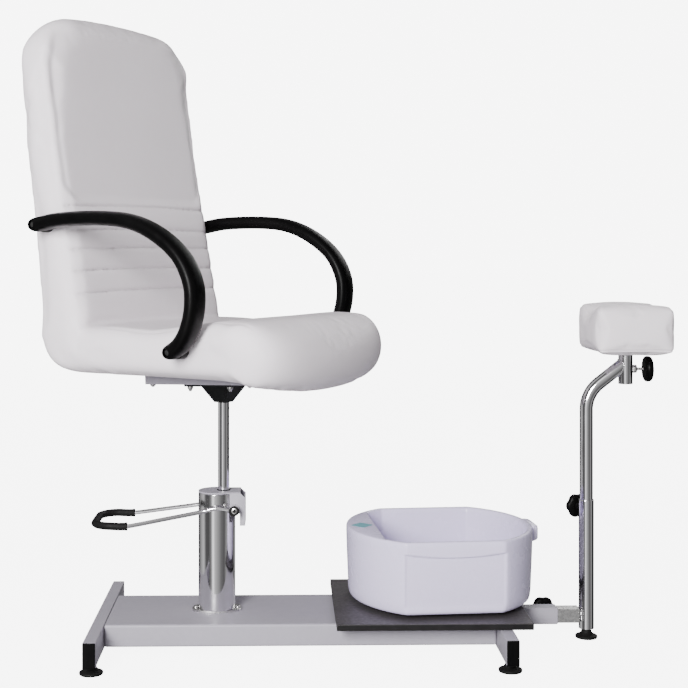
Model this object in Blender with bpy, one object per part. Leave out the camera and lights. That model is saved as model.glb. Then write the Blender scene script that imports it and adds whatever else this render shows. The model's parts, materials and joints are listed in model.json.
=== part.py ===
"""Pedicure station: a swivel armchair on a foot pump, a foot-bath shelf and a leg rest, all on one steel base.

Metres, +Z up, floor at Z = 0. The base runs along X with the leg rest at +X.
Base pieces are placed from the pump's axis. Chair pieces are placed from the rod's axis, in a frame that is
swivelled with the seat: its +X is the way that the sitter faces.
"""

import math

import bmesh
import bpy
from mathutils import Vector

GAP = 0.0003                                # clearance between two pieces that touch
PUMP_AXIS = Vector((-0.267, -0.035, 0.0))   # the pump's axis, from the middle of the whole footprint

# Steel base
BAR_TOP = 0.070
BAR_HEIGHT = 0.050
BAR_WIDTH = 0.025
BAR_WALL = 0.002
BAR_REACH = 0.2365                          # half length of a crossbar without its end caps
REAR_BAR_X = -0.2335
FRONT_BAR_X = 0.5810
BEAM_HALF_WIDTH = 0.117
BEAM_BOTTOM = 0.025
BEAM_WALL = 0.0025
FOOT_INSET = 0.033                          # from a crossbar's end to its level foot
SHELF_X = (0.244, 0.634)
SHELF_Y = (-0.171, 0.195)
SHELF_THICKNESS = 0.013

# Foot pump
ROD_X = 0.014                               # the rod is off the housing's centre
ROD_RADIUS = 0.012
HOUSING_RADIUS = 0.0385
HOUSING_BORE = 0.0350
HOUSING_TOP = 0.3190
PIVOT_X = 0.038
PIVOT_Z = 0.285
LEVER_HALF_WIDTH = 0.046                    # beside the housing
GRIP_HALF_WIDTH = 0.0715                    # the wire splays out to its grip
WIRE_RADIUS = 0.004

# Chair
SEAT_YAW = math.radians(-32.0)
SEAT_TILT = math.radians(-2.5)              # the mounting plate leans back a little
BACK_LEAN = math.radians(-8.0)
FRAME_BOTTOM = 0.548
CUSHION_HALF_WIDTH = 0.254
CUSHION_SPLIT = 0.665                       # height where the back cushion meets the seat cushion
SEAT_BOARD_X = (-0.120, 0.140)
SEAT_BOARD_HALF_WIDTH = 0.107
SEAT_BOARD_TOP = 0.0383                     # above the underside of the seat frame
ARM_OFFSET = 0.285
REAR_BOSS = (-0.254, 0.872)                 # along the chair, and height
FRONT_BOSS = (0.080, 0.630)

# Leg rest
LEGREST_Y = 0.020
SLEEVE_SIZE = 0.0345
SLEEVE_Z = 0.0496
SLEEVE_END = 0.717
POST_X = 0.7805
POST_RADIUS = 0.016
POST_TOP = 0.293
TUBE_RADIUS = 0.014
SOCKET_X = 0.864
PAD_HALF_LENGTH = 0.079

# Foot bath
BATH_CENTRE = (0.4695, 0.042)
BATH_YAW = math.radians(4.5)
BATH_HALF_LENGTH = 0.1965
BATH_HALF_DEPTH = 0.212                     # of the ellipse, before its front and rear are cut flat
BATH_FLAT = 0.182                           # half distance between the flat front and rear
BATH_TOP = 0.238

SIDES = 32                                  # sides of a large round piece
SMALL_SIDES = 16


# ---------------------------------------------------------------- helpers

def clear_scene():
    for obj in list(bpy.data.objects):
        bpy.data.objects.remove(obj, do_unlink=True)


def make_material(name, color, roughness, metallic=0.0):
    mat = bpy.data.materials.new(name)
    mat.use_nodes = True
    shader = mat.node_tree.nodes["Principled BSDF"]
    shader.inputs["Base Color"].default_value = (*color, 1.0)
    shader.inputs["Roughness"].default_value = roughness
    shader.inputs["Metallic"].default_value = metallic
    return mat


def make_empty(name, location, rotation=(0.0, 0.0, 0.0), parent=None):
    empty = bpy.data.objects.new(name, None)
    empty.location = location
    empty.rotation_euler = rotation
    empty.parent = parent
    bpy.context.collection.objects.link(empty)
    return empty


def add_object(name, bm, mat, parent, location=(0, 0, 0), rotation=(0, 0, 0)):
    """Turn a bmesh into a smooth-shaded object with outward faces."""
    bmesh.ops.recalc_face_normals(bm, faces=bm.faces)
    mesh = bpy.data.meshes.new(name)
    bm.to_mesh(mesh)
    bm.free()
    mesh.materials.append(mat)
    mesh.shade_smooth()
    mesh.set_sharp_from_angle(angle=math.radians(35))
    obj = bpy.data.objects.new(name, mesh)
    obj.location = location
    obj.rotation_euler = rotation
    obj.parent = parent
    bpy.context.collection.objects.link(obj)
    return obj


def bevel(obj, width, segments=2):
    mod = obj.modifiers.new("Bevel", "BEVEL")
    mod.width = width
    mod.segments = segments
    mod.limit_method = "ANGLE"
    mod.angle_limit = math.radians(40)


def combine(obj, other, operation):
    """Cut another shape out of a piece, or weld it on. The other shape becomes a hidden operand."""
    other.hide_render = True
    other.display_type = "WIRE"
    mod = obj.modifiers.new(other.name, "BOOLEAN")
    mod.operation = operation
    mod.solver = "EXACT"
    mod.object = other


def cut(obj, *cutters):
    for cutter in cutters:
        combine(obj, cutter, "DIFFERENCE")


def weld(obj, *others):
    for other in others:
        combine(obj, other, "UNION")


def box(name, mat, parent, low, high, round_edges=0.0, segments=2):
    """A box between two corners, its origin at its middle."""
    low = Vector(low)
    high = Vector(high)
    bm = bmesh.new()
    bmesh.ops.create_cube(bm, size=1.0)
    bmesh.ops.scale(bm, vec=high - low, verts=bm.verts)
    obj = add_object(name, bm, mat, parent, (low + high) / 2)
    if round_edges:
        bevel(obj, round_edges, segments)
    return obj


def prism(name, mat, parent, outline, low, high, plane="XY", round_edges=0.0, segments=2):
    """A flat outline pushed from low to high along the axis that its plane leaves out."""
    place = {
        "XY": lambda u, v, w: (u, v, w),
        "XZ": lambda u, v, w: (u, w, v),
        "YZ": lambda u, v, w: (w, u, v),
    }[plane]
    bm = bmesh.new()
    base = bm.faces.new([bm.verts.new(place(u, v, low)) for u, v in outline])
    pushed = bmesh.ops.extrude_face_region(bm, geom=[base])["geom"]
    shift = Vector(place(0.0, 0.0, high - low))
    bmesh.ops.translate(bm, vec=shift, verts=[v for v in pushed if isinstance(v, bmesh.types.BMVert)])
    obj = add_object(name, bm, mat, parent)
    if round_edges:
        bevel(obj, round_edges, segments)
    return obj


def skin(name, mat, parent, rings, closed=False, location=(0, 0, 0), rotation=(0, 0, 0)):
    """Join rings of points into one surface. A ring of one point is a tip; open ends are capped."""
    bm = bmesh.new()
    loops = [[bm.verts.new(p) for p in ring] for ring in rings]
    pairs = list(zip(loops, loops[1:]))
    if closed:
        pairs.append((loops[-1], loops[0]))
    for first, second in pairs:
        count = max(len(first), len(second))
        for i in range(count):
            j = (i + 1) % count
            corners = [first[i % len(first)], first[j % len(first)], second[j % len(second)], second[i % len(second)]]
            bm.faces.new(list(dict.fromkeys(corners)))
    if not closed:
        for end in (loops[0], loops[-1]):
            if len(end) > 1:
                bm.faces.new(end)
    return add_object(name, bm, mat, parent, location, rotation)


def ring(radius, z, sides, lobes=0, depth=0.0):
    """Points of a circle at one height, with optional lobes around it."""
    if radius == 0.0:
        return [Vector((0.0, 0.0, z))]
    turns = [2 * math.pi * i / sides for i in range(sides)]
    radii = [radius * (1 + depth * math.cos(lobes * t)) for t in turns]
    return [Vector((r * math.cos(t), r * math.sin(t), z)) for r, t in zip(radii, turns)]


def turned(name, mat, parent, profile, location=(0, 0, 0), rotation=(0, 0, 0), sides=SIDES):
    """A solid of revolution about its own Z, from (radius, height) points."""
    rings = [ring(radius, z, sides) for radius, z in profile]
    on_axis = profile[0][0] == 0.0 and profile[-1][0] == 0.0
    return skin(name, mat, parent, rings, not on_axis, location, rotation)


def rod(name, mat, parent, radius, low, high, location=(0, 0, 0), rotation=(0, 0, 0), sides=SMALL_SIDES):
    profile = [(0.0, low), (radius, low), (radius, high), (0.0, high)]
    return turned(name, mat, parent, profile, location, rotation, sides)


def swept(name, mat, parent, path, section, bore=None):
    """A section of (side, up) points carried along a path without twist; a bore makes it a tube."""
    path = [Vector(p) for p in path]
    side = Vector((0.0, 1.0, 0.0))
    frames = []
    for i, point in enumerate(path):
        ahead = (path[min(i + 1, len(path) - 1)] - path[max(i - 1, 0)]).normalized()
        side = (side - ahead * side.dot(ahead)).normalized()
        frames.append((point, side.copy(), ahead.cross(side)))
    outer = [[p + s * u + n * v for u, v in section] for p, s, n in frames]
    if bore is None:
        return skin(name, mat, parent, outer)
    inner = [[p + s * u + n * v for u, v in bore] for p, s, n in reversed(frames)]
    return skin(name, mat, parent, outer + inner, closed=True)


def circle(radius, sides):
    return [(p.x, p.y) for p in ring(radius, 0.0, sides)]


def arc(centre, radius, start, end, steps):
    """Points of an arc, angles in degrees."""
    angles = [math.radians(start + (end - start) * i / steps) for i in range(steps + 1)]
    return [(centre[0] + radius * math.cos(a), centre[1] + radius * math.sin(a)) for a in angles]


def drills(name, parent, points, radius, low, high):
    """One cutter of upright round holes."""
    bm = bmesh.new()
    for x, y in points:
        hole = bmesh.ops.create_cone(
            bm, cap_ends=True, segments=12, radius1=radius, radius2=radius, depth=high - low)
        bmesh.ops.translate(bm, vec=(x, y, (low + high) / 2), verts=hole["verts"])
    return add_object(name, bm, None, parent)


def mirror_outline(half, first=False):
    """Complete a half outline: mirrored in its first value, or else in its second."""
    if first:
        other = [(-u, v) for u, v in reversed(half) if u != 0.0]
    else:
        other = [(u, -v) for u, v in reversed(half) if v != 0.0]
    return half + other


def corners(half_x, half_y, centre=(0.0, 0.0)):
    return [(centre[0] + sx * half_x, centre[1] + sy * half_y) for sx in (-1, 1) for sy in (-1, 1)]


# ---------------------------------------------------------------- base

def build_beam(base, steel):
    """A wide box tube between the crossbars, with soft long edges."""
    start = REAR_BAR_X + BAR_WIDTH / 2 + GAP
    end = FRONT_BAR_X - BAR_WIDTH / 2 - GAP
    beam = box("base_beam", steel, base, (start, -BEAM_HALF_WIDTH, BEAM_BOTTOM), (end, BEAM_HALF_WIDTH, BAR_TOP),
               round_edges=0.005, segments=3)
    inner = box("beam_inside", None, base,
                (start - 0.01, -BEAM_HALF_WIDTH + BEAM_WALL, BEAM_BOTTOM + BEAM_WALL),
                (end + 0.01, BEAM_HALF_WIDTH - BEAM_WALL, BAR_TOP - BEAM_WALL))
    cut(beam, inner, drills("beam_screw_holes", base, shelf_screw_places(), 0.0034, BAR_TOP - 0.01, BAR_TOP + 0.01))


def build_crossbar(base, steel, name, x):
    """A rectangular tube across one end of the beam, with holes for its two level feet."""
    half = BAR_WIDTH / 2
    bar = box(name, steel, base, (x - half, -BAR_REACH, BAR_TOP - BAR_HEIGHT), (x + half, BAR_REACH, BAR_TOP),
              round_edges=0.0015, segments=2)
    inner = box(name + "_inside", None, base,
                (x - half + BAR_WALL, -BAR_REACH - 0.01, BAR_TOP - BAR_HEIGHT + BAR_WALL),
                (x + half - BAR_WALL, BAR_REACH + 0.01, BAR_TOP - BAR_WALL))
    foot_y = BAR_REACH - FOOT_INSET
    holes = drills(name + "_foot_holes", base, [(x, -foot_y), (x, foot_y)], 0.0046, 0.010, 0.030)
    cut(bar, inner, holes)


def build_end_cap(base, plastic, name, x, side):
    """A plastic cap whose hollow-tube plug is pushed into the end of a crossbar."""
    half = BAR_WIDTH / 2
    middle = BAR_TOP - BAR_HEIGHT / 2
    plug_x = half - BAR_WALL - GAP
    plug_z = BAR_HEIGHT / 2 - BAR_WALL - GAP
    ends = sorted((side * (BAR_REACH + GAP), side * (BAR_REACH + 0.0035)))
    cap = box(name, plastic, base, (x - half, ends[0], middle - BAR_HEIGHT / 2),
              (x + half, ends[1], middle + BAR_HEIGHT / 2), round_edges=0.001, segments=1)
    reach = sorted((side * (BAR_REACH - 0.012), side * (BAR_REACH + 0.002)))
    plug = box(name + "_plug", plastic, base, (x - plug_x, reach[0], middle - plug_z),
               (x + plug_x, reach[1], middle + plug_z))
    weld(cap, plug)


def build_level_foot(base, rubber, name, x, y, stud_top):
    """A screw-in foot: round pad, neck and threaded stud in one piece."""
    profile = [(0.0, 0.0), (0.0220, 0.0), (0.0235, 0.0015), (0.0235, 0.0050), (0.0120, 0.0115),
               (0.0100, 0.0195), (0.0040, 0.0195), (0.0040, stud_top), (0.0, stud_top)]
    turned(name, rubber, base, profile, (x, y, 0.0), sides=16)


def shelf_screw_places():
    middle_y = sum(SHELF_Y) / 2
    return [(SHELF_X[0] + 0.085, middle_y), (SHELF_X[1] - 0.105, middle_y)]


def build_shelf(base, board, steel):
    """A flat board on top of the beam, held by two countersunk screws."""
    low = BAR_TOP + GAP
    top = low + SHELF_THICKNESS
    shelf = box("bath_shelf", board, base, (SHELF_X[0], SHELF_Y[0], low), (SHELF_X[1], SHELF_Y[1], top),
                round_edges=0.001, segments=1)
    places = shelf_screw_places()
    cut(shelf,
        drills("shelf_screw_holes", base, places, 0.0034, low - 0.01, top + 0.01),
        drills("shelf_screw_seats", base, places, 0.0067, top - 0.003, top + 0.01))
    for i, (x, y) in enumerate(places, start=1):
        profile = [(0.0, -0.022), (0.003, -0.022), (0.003, -0.0027), (0.0063, -0.0027), (0.0063, -0.0003),
                   (0.0, -0.0003)]
        turned(f"shelf_screw_{i}", steel, base, profile, (x, y, top), sides=12)


def build_base(base, mats):
    build_beam(base, mats["powder_coat"])
    for end, x in (("rear", REAR_BAR_X), ("front", FRONT_BAR_X)):
        build_crossbar(base, mats["powder_coat"], f"crossbar_{end}", x)
        for side, sign in (("near", -1), ("far", 1)):
            build_end_cap(base, mats["black_plastic"], f"end_cap_{end}_{side}", x, sign)
            foot_y = sign * (BAR_REACH - FOOT_INSET)
            build_level_foot(base, mats["black_rubber"], f"level_foot_{end}_{side}", x, foot_y, 0.040)
    build_shelf(base, mats["charcoal_board"], mats["bright_steel"])


# ---------------------------------------------------------------- foot pump

def build_pump_body(base, mats):
    """Flange, outer housing, inner cylinder, and the top cap with the lever's bracket."""
    flange_top = BAR_TOP + GAP + 0.004
    ear = 0.032
    reach = 0.051 - ear
    outline = arc((reach, 0.0), ear, -90, 90, 10) + arc((-reach, 0.0), ear, 90, 270, 10)
    prism("pump_flange", mats["bright_steel"], base, outline, BAR_TOP + GAP, flange_top)

    low = flange_top + GAP
    floor = low + 0.004
    rim = HOUSING_TOP - 0.0032 - GAP
    profile = [(0.0, low), (HOUSING_RADIUS, low), (HOUSING_RADIUS, rim), (HOUSING_BORE, rim),
               (HOUSING_BORE, floor), (0.0, floor)]
    housing = turned("pump_housing", mats["chrome"], base, profile, sides=40)
    slot = box("housing_slot", None, base, (0.027, -0.0215, PIVOT_Z - 0.012), (0.045, 0.0215, PIVOT_Z + 0.012))
    cut(housing, slot)

    cylinder = [(0.0150, floor + GAP), (0.0150, 0.292), (0.0130, 0.292), (0.0130, floor + GAP)]
    turned("pump_cylinder", mats["bright_steel"], base, cylinder, (ROD_X, 0.0, 0.0), sides=24)

    plate_low = HOUSING_TOP - 0.0032
    half_sheet = 0.0315
    meet = math.degrees(math.asin(half_sheet / HOUSING_RADIUS))
    outer_x = 0.0597
    bend_x = outer_x - 0.010
    outline = arc((0.0, 0.0), HOUSING_RADIUS, meet, 360 - meet, 32) + [(bend_x, -half_sheet), (bend_x, half_sheet)]
    cap = prism("pump_cap", mats["powder_coat"], base, outline, plate_low, HOUSING_TOP)
    boss = rod("cap_boss", None, base, 0.0155, 0.2955, HOUSING_TOP - 0.0012, (ROD_X, 0.0, 0.0), sides=24)
    leg_x = outer_x - 0.011
    inside_plate = HOUSING_TOP - 0.0012
    shape = [(bend_x - 0.001, inside_plate), (outer_x, inside_plate - 0.0095), (outer_x, 0.250), (leg_x, 0.250),
             (leg_x, PIVOT_Z - 0.010), (0.0275, PIVOT_Z - 0.010), (0.0275, inside_plate)]
    bracket = prism("cap_bracket", None, base, shape, -half_sheet + 0.0002, half_sheet - 0.0002, plane="XZ")
    hollow = box("bracket_inside", None, base, (0.0, -0.0285, 0.20), (outer_x - 0.003, 0.0285, plate_low + 0.001))
    cut(bracket, hollow)
    weld(cap, boss, bracket)
    rod_hole = rod("cap_rod_hole", None, base, ROD_RADIUS + GAP, 0.28, 0.34, (ROD_X, 0.0, 0.0), sides=24)
    sideways = (math.radians(90), 0.0, 0.0)
    axle_hole = rod("cap_axle_hole", None, base, 0.0046, -0.05, 0.05, (PIVOT_X, 0.0, PIVOT_Z), sideways)
    cut(cap, rod_hole, axle_hole)


def lever_route():
    """The lever's wire, from the near eye round its U to the far eye."""
    half = LEVER_HALF_WIDTH
    wide = GRIP_HALF_WIDTH
    corner = 0.038
    tip = -0.249
    near = [(PIVOT_X, -half, PIVOT_Z), (0.026, -half, 0.2860), (0.012, -half, 0.2885), (0.000, -half, 0.2888),
            (-0.015, -half, 0.2860), (-0.034, -half, 0.2810), (-0.108, -0.0590, 0.2692), (-0.170, -0.0698, 0.2593),
            (-0.190, -wide, 0.2578)]
    bend = arc((tip + corner, -wide + corner), corner, 270, 180, 6)
    near += [(x, y, 0.2585) for x, y in bend]
    far = [(x, -y, z) for x, y, z in reversed(near)]
    return near + far


def build_lever(base, mats):
    """A U of wire on an axle, with a rubber grip round its bend and a finger that works the plunger."""
    route = lever_route()
    sides = 8
    lever = swept("pump_lever", mats["chrome"], base, route, circle(WIRE_RADIUS, sides))
    sideways = (math.radians(90), 0.0, 0.0)
    for side, sign in (("near", -1), ("far", 1)):
        place = (PIVOT_X, sign * 0.043, PIVOT_Z)
        weld(lever, rod(f"lever_eye_{side}", None, base, 0.0095, -0.011, 0.011, place, sideways, sides=16))
    cut(lever, rod("lever_eye_holes", None, base, 0.0043, -0.06, 0.06, (PIVOT_X, 0.0, PIVOT_Z), sideways))

    grip = [p for p in route if p[0] < -0.179]
    swept("lever_grip", mats["black_rubber"], base, grip, circle(0.0072, sides), circle(0.0046, sides))

    head = 0.0565
    profile = [(0.0, -head), (0.0065, -head), (0.0065, -0.0545), (0.0040, -0.0545), (0.0040, 0.0545),
               (0.0065, 0.0545), (0.0065, head), (0.0, head)]
    axle = turned("lever_axle", mats["bright_steel"], base, profile, (PIVOT_X, 0.0, PIVOT_Z), sideways, sides=16)
    finger = box("axle_finger", None, base, (0.0310, -0.0035, PIVOT_Z - 0.0045), (PIVOT_X, 0.0035, PIVOT_Z + 0.0045))
    weld(axle, finger)
    rod("pump_plunger", mats["bright_steel"], base, 0.0024, 0.200, PIVOT_Z - 0.0065, (0.0320, 0.0, 0.0), sides=12)


def build_rod(base, chair, mats):
    """The lifting rod stands on its piston seal and ends inside the cone under the seat."""
    seal = [(0.0, 0.262), (0.0127, 0.262), (0.0127, 0.282), (0.0, 0.282)]
    turned("piston_seal", mats["black_rubber"], base, seal, (ROD_X, 0.0, 0.0), sides=24)
    rod("piston_rod", mats["chrome"], chair, ROD_RADIUS, 0.2823, 0.5335, sides=24)


# ---------------------------------------------------------------- chair structure

def build_mount(chair, plate, mats):
    """A square flange with a tapered block below it that grips the rod."""
    flange_low = -0.0083
    flange = box("cone_mount", mats["black_steel"], plate, (-0.060, -0.060, flange_low), (0.060, 0.060, -GAP),
                 round_edges=0.0015, segments=1)
    bm = bmesh.new()
    bmesh.ops.create_cone(bm, cap_ends=True, segments=4, radius1=0.0200, radius2=0.0530, depth=0.040)
    cone = add_object("mount_taper", bm, None, chair, (0.0, 0.0, 0.523), (0.0, 0.0, math.radians(45)))
    weld(flange, cone)
    socket = rod("mount_socket", None, chair, ROD_RADIUS + GAP, 0.480, 0.534, sides=24)
    bolts = corners(0.050, 0.050)
    cut(flange, socket, drills("mount_bolt_holes", plate, bolts, 0.0034, -0.02, 0.01))
    for i, (x, y) in enumerate(bolts, start=1):
        profile = [(0.0, -0.0190), (0.0035, -0.0180), (0.0055, -0.0145), (0.0062, -0.0090), (0.0062, -0.0086),
                   (0.0030, -0.0086), (0.0030, 0.0028), (0.0058, 0.0028), (0.0058, 0.0068), (0.0, 0.0068)]
        turned(f"mount_bolt_{i}", mats["bright_steel"], plate, profile, (x, y, 0.0), sides=12)


def build_seat_frame(plate, mats):
    """A folded tray that carries the seat board, with four screws up into the board."""
    low = (-0.122, -0.110)
    high = (0.142, 0.110)
    height = 0.018
    wall = 0.0025
    tray = box("seat_frame", mats["powder_coat"], plate, (*low, 0.0), (*high, height), round_edges=0.001, segments=1)
    inner = box("frame_inside", None, plate, (low[0] + wall, low[1] + wall, wall),
                (high[0] - wall, high[1] - wall, height + 0.01))
    middle = ((low[0] + high[0]) / 2, 0.0)
    screws = corners(0.120, 0.098, middle)
    cut(tray, inner,
        drills("frame_screw_holes", plate, screws, 0.0031, -0.01, 0.01),
        drills("frame_bolt_holes", plate, corners(0.050, 0.050), 0.0034, -0.01, 0.01))

    board_low = height + GAP
    board = box("seat_board", mats["plywood"], plate, (SEAT_BOARD_X[0], -SEAT_BOARD_HALF_WIDTH, board_low),
                (SEAT_BOARD_X[1], SEAT_BOARD_HALF_WIDTH, SEAT_BOARD_TOP), round_edges=0.001, segments=1)
    cut(board, drills("board_screw_holes", plate, screws, 0.0031, board_low - 0.01, board_low + 0.0095))
    for i, (x, y) in enumerate(screws, start=1):
        profile = [(0.0, -0.0062), (0.0030, -0.0055), (0.0055, -0.0025), (0.0060, -0.0003), (0.0028, -0.0003),
                   (0.0028, board_low + 0.008), (0.0, board_low + 0.009)]
        turned(f"seat_screw_{i}", mats["bright_steel"], plate, profile, (x, y, 0.0), sides=12)


def strap_shape(name, chair, lean, mat, grow):
    """The steel strap that joins seat and back: a bent foot on the seat board and a leg behind the back board."""
    low = [(-0.060 + grow, 0.5841), (-0.148, 0.5803), (-0.190, 0.5880), (-0.2495 - grow, 0.5880)]
    outline = [(x, z - grow) for x, z in low] + [(x, z + 0.005 + grow) for x, z in reversed(low)]
    half = 0.030 + grow
    foot = prism(name + "_foot", mat, chair, outline, -half, half, "XZ")
    leg = box(name, mat, lean, (-0.0075 - grow, -half - 0.001, -0.011 - grow),
              (-0.0025 + grow, half + 0.001, 0.300 + grow))
    return foot, leg


def build_back_structure(chair, lean, mats):
    box("back_board", mats["plywood"], lean, (-0.0020, -0.190, 0.085), (0.0080, 0.190, 0.560),
        round_edges=0.001, segments=1)
    foot, leg = strap_shape("back_bracket", chair, lean, mats["black_steel"], 0.0)
    weld(leg, foot)


# ---------------------------------------------------------------- upholstery

def seat_profile():
    """Side outline of the seat: flat bottom, round heel at the rear, dished top and a full front roll."""
    low = 0.5765
    heel = arc((-0.225, low + 0.065), 0.065, 180, 270, 6)
    roll = arc((0.212, 0.618), 0.068, -75, 75, 9)
    top = [(0.150, 0.6830), (0.070, 0.6735), (-0.020, 0.6680)]
    return [(-0.290, CUSHION_SPLIT)] + heel + [(0.160, low + 0.006)] + roll + top + [(-0.100, CUSHION_SPLIT)]


def seat_plan():
    """Outline of the seat from above: straight sides, round front corners and a slightly bowed front."""
    corner = arc((0.190, CUSHION_HALF_WIDTH - 0.085), 0.085, 0, 90, 8)
    return mirror_outline([(0.285, 0.0)] + corner + [(-0.400, CUSHION_HALF_WIDTH)])


def back_profile():
    """Side outline of the back: a leaning slab that thins upwards and curls forward at the top."""
    low = CUSHION_SPLIT + GAP
    rear = [(-0.290, low), (-0.309, 0.895), (-0.331, 1.040), (-0.340, 1.146)]
    crown = arc((-0.300, 1.279), 0.040, 170, 10, 8)
    front = [(-0.258, 1.157), (-0.244, 1.048), (-0.218, 0.904), (-0.183, 0.700), (-0.172, low)]
    return rear + crown + front


def back_front_view():
    """Outline of the back from the front: round top corners and a slightly arched top."""
    corner = arc((CUSHION_HALF_WIDTH - 0.070, 1.235), 0.070, 0, 75, 6)
    return mirror_outline([(CUSHION_HALF_WIDTH, 0.500)] + corner + [(0.100, 1.3155), (0.0, 1.3190)], first=True)


def arm_screw_cutter(name, chair, side):
    """Shank holes of one arm's two screws, in the cushion's edge."""
    sideways = (math.radians(90), 0.0, 0.0)
    holes = []
    for end, (x, z) in (("rear", REAR_BOSS), ("front", FRONT_BOSS)):
        hole = rod(f"{name}_{end}", None, chair, 0.0034, -0.031, 0.031, (x, side * CUSHION_HALF_WIDTH, z), sideways,
                   sides=12)
        holes.append(hole)
    return holes


def build_cushions(chair, plate, lean, mats):
    """Seat and back are slabs between their side outlines, with slots for the boards and the strap."""
    half = CUSHION_HALF_WIDTH
    seat = prism("seat_cushion", mats["white_vinyl"], chair, seat_profile(), -half - 0.01, half + 0.01, "XZ")
    back = prism("back_cushion", mats["white_vinyl"], chair, back_profile(), -half - 0.01, half + 0.01, "XZ")
    combine(seat, prism("seat_plan", None, chair, seat_plan(), 0.500, 0.800), "INTERSECT")
    combine(back, prism("back_front_view", None, chair, back_front_view(), -0.450, -0.100, "YZ"), "INTERSECT")
    foot, leg = strap_shape("strap_slot", chair, lean, None, GAP)
    seat_pocket = box("seat_board_pocket", None, plate, (SEAT_BOARD_X[0] - GAP, -SEAT_BOARD_HALF_WIDTH - GAP, 0.0),
                      (SEAT_BOARD_X[1] + GAP, SEAT_BOARD_HALF_WIDTH + GAP, SEAT_BOARD_TOP + GAP))
    cut(seat, seat_pocket, foot, leg)
    board_slot = box("back_board_slot", None, lean, (-0.0020 - GAP, -0.190 - GAP, 0.0), (0.0080 + GAP, 0.190 + GAP,
                     0.560 + GAP))
    cut(back, board_slot, leg)
    for name, side in (("near", -1), ("far", 1)):
        rear_hole, front_hole = arm_screw_cutter(f"arm_hole_{name}", chair, side)
        cut(back, rear_hole)
        cut(seat, front_hole)


def arm_route():
    """Centre line of an arm in side view, a smooth curve through the points that shape it."""
    knots = [REAR_BOSS, (-0.190, 0.8815), (-0.090, 0.8830), (-0.015, 0.8745), (0.048, 0.8490), (0.100, 0.8090),
             (0.127, 0.7600), (0.130, 0.7130), (0.119, 0.6720), (0.101, 0.6450), FRONT_BOSS]
    padded = [knots[0]] + knots + [knots[-1]]
    route = []
    for i in range(1, len(padded) - 2):
        before, start, end, after = (Vector(p) for p in padded[i - 1:i + 3])
        for step in range(2):
            t = step / 2
            point = (2 * start + (end - before) * t + (2 * before - 5 * start + 4 * end - after) * t * t
                     + (3 * start - before - 3 * end + after) * t ** 3) / 2
            route.append(point)
    route.append(Vector(knots[-1]))
    return [(p.x, 0.0, p.y) for p in route]


def build_arm(chair, mats, name, side):
    """A loop arm of flattened round section, with a boss and a sunk screw at each end."""
    section = [(0.025 * math.copysign(abs(math.cos(t)) ** 0.7, math.cos(t)),
                0.0145 * math.copysign(abs(math.sin(t)) ** 0.8, math.sin(t)))
               for t in (2 * math.pi * i / 12 for i in range(12))]
    arm = swept(name, mats["black_plastic"], chair, arm_route(), section)
    arm.location = (0.0, side * ARM_OFFSET, 0.0)
    inward = (math.radians(90 * side), 0.0, 0.0)
    reach = ARM_OFFSET - CUSHION_HALF_WIDTH - GAP
    for end, (x, z) in (("rear", REAR_BOSS), ("front", FRONT_BOSS)):
        place = (x, side * ARM_OFFSET, z)
        weld(arm, rod(f"{name}_{end}_boss", None, chair, 0.0155, -0.0235, reach, place, inward, sides=16))
        through = rod(f"{name}_{end}_hole", None, chair, 0.0034, -0.04, 0.05, place, inward, sides=12)
        sunk = rod(f"{name}_{end}_sink", None, chair, 0.0075, -0.04, -0.012, place, inward, sides=16)
        cut(arm, through, sunk)
        profile = [(0.0, -0.0180), (0.0062, -0.0172), (0.0068, -0.0123), (0.0030, -0.0123), (0.0030, reach + 0.028),
                   (0.0, reach + 0.030)]
        turned(f"{name}_screw_{end}", mats["black_steel"], chair, profile, place, inward, sides=12)


# ---------------------------------------------------------------- leg rest

def lobed_knob(name, mat, parent, profile, location, rotation):
    """A six-lobed clamp knob and its screw, from (radius, height, lobe depth) points."""
    rings = [ring(radius, z, 24, 6, depth) for radius, z, depth in profile]
    return skin(name, mat, parent, rings, location=location, rotation=rotation)


def knob_profile(screw_tip, knob_start):
    """Screw first, then the neck, then the lobed grip."""
    return [(0.0, screw_tip, 0.0), (0.0040, screw_tip, 0.0), (0.0040, knob_start, 0.0),
            (0.0110, knob_start, 0.0), (0.0130, knob_start + 0.006, 0.0), (0.0245, knob_start + 0.008, 0.05),
            (0.0251, knob_start + 0.018, 0.05), (0.0190, knob_start + 0.022, 0.02), (0.0, knob_start + 0.022, 0.0)]


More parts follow.
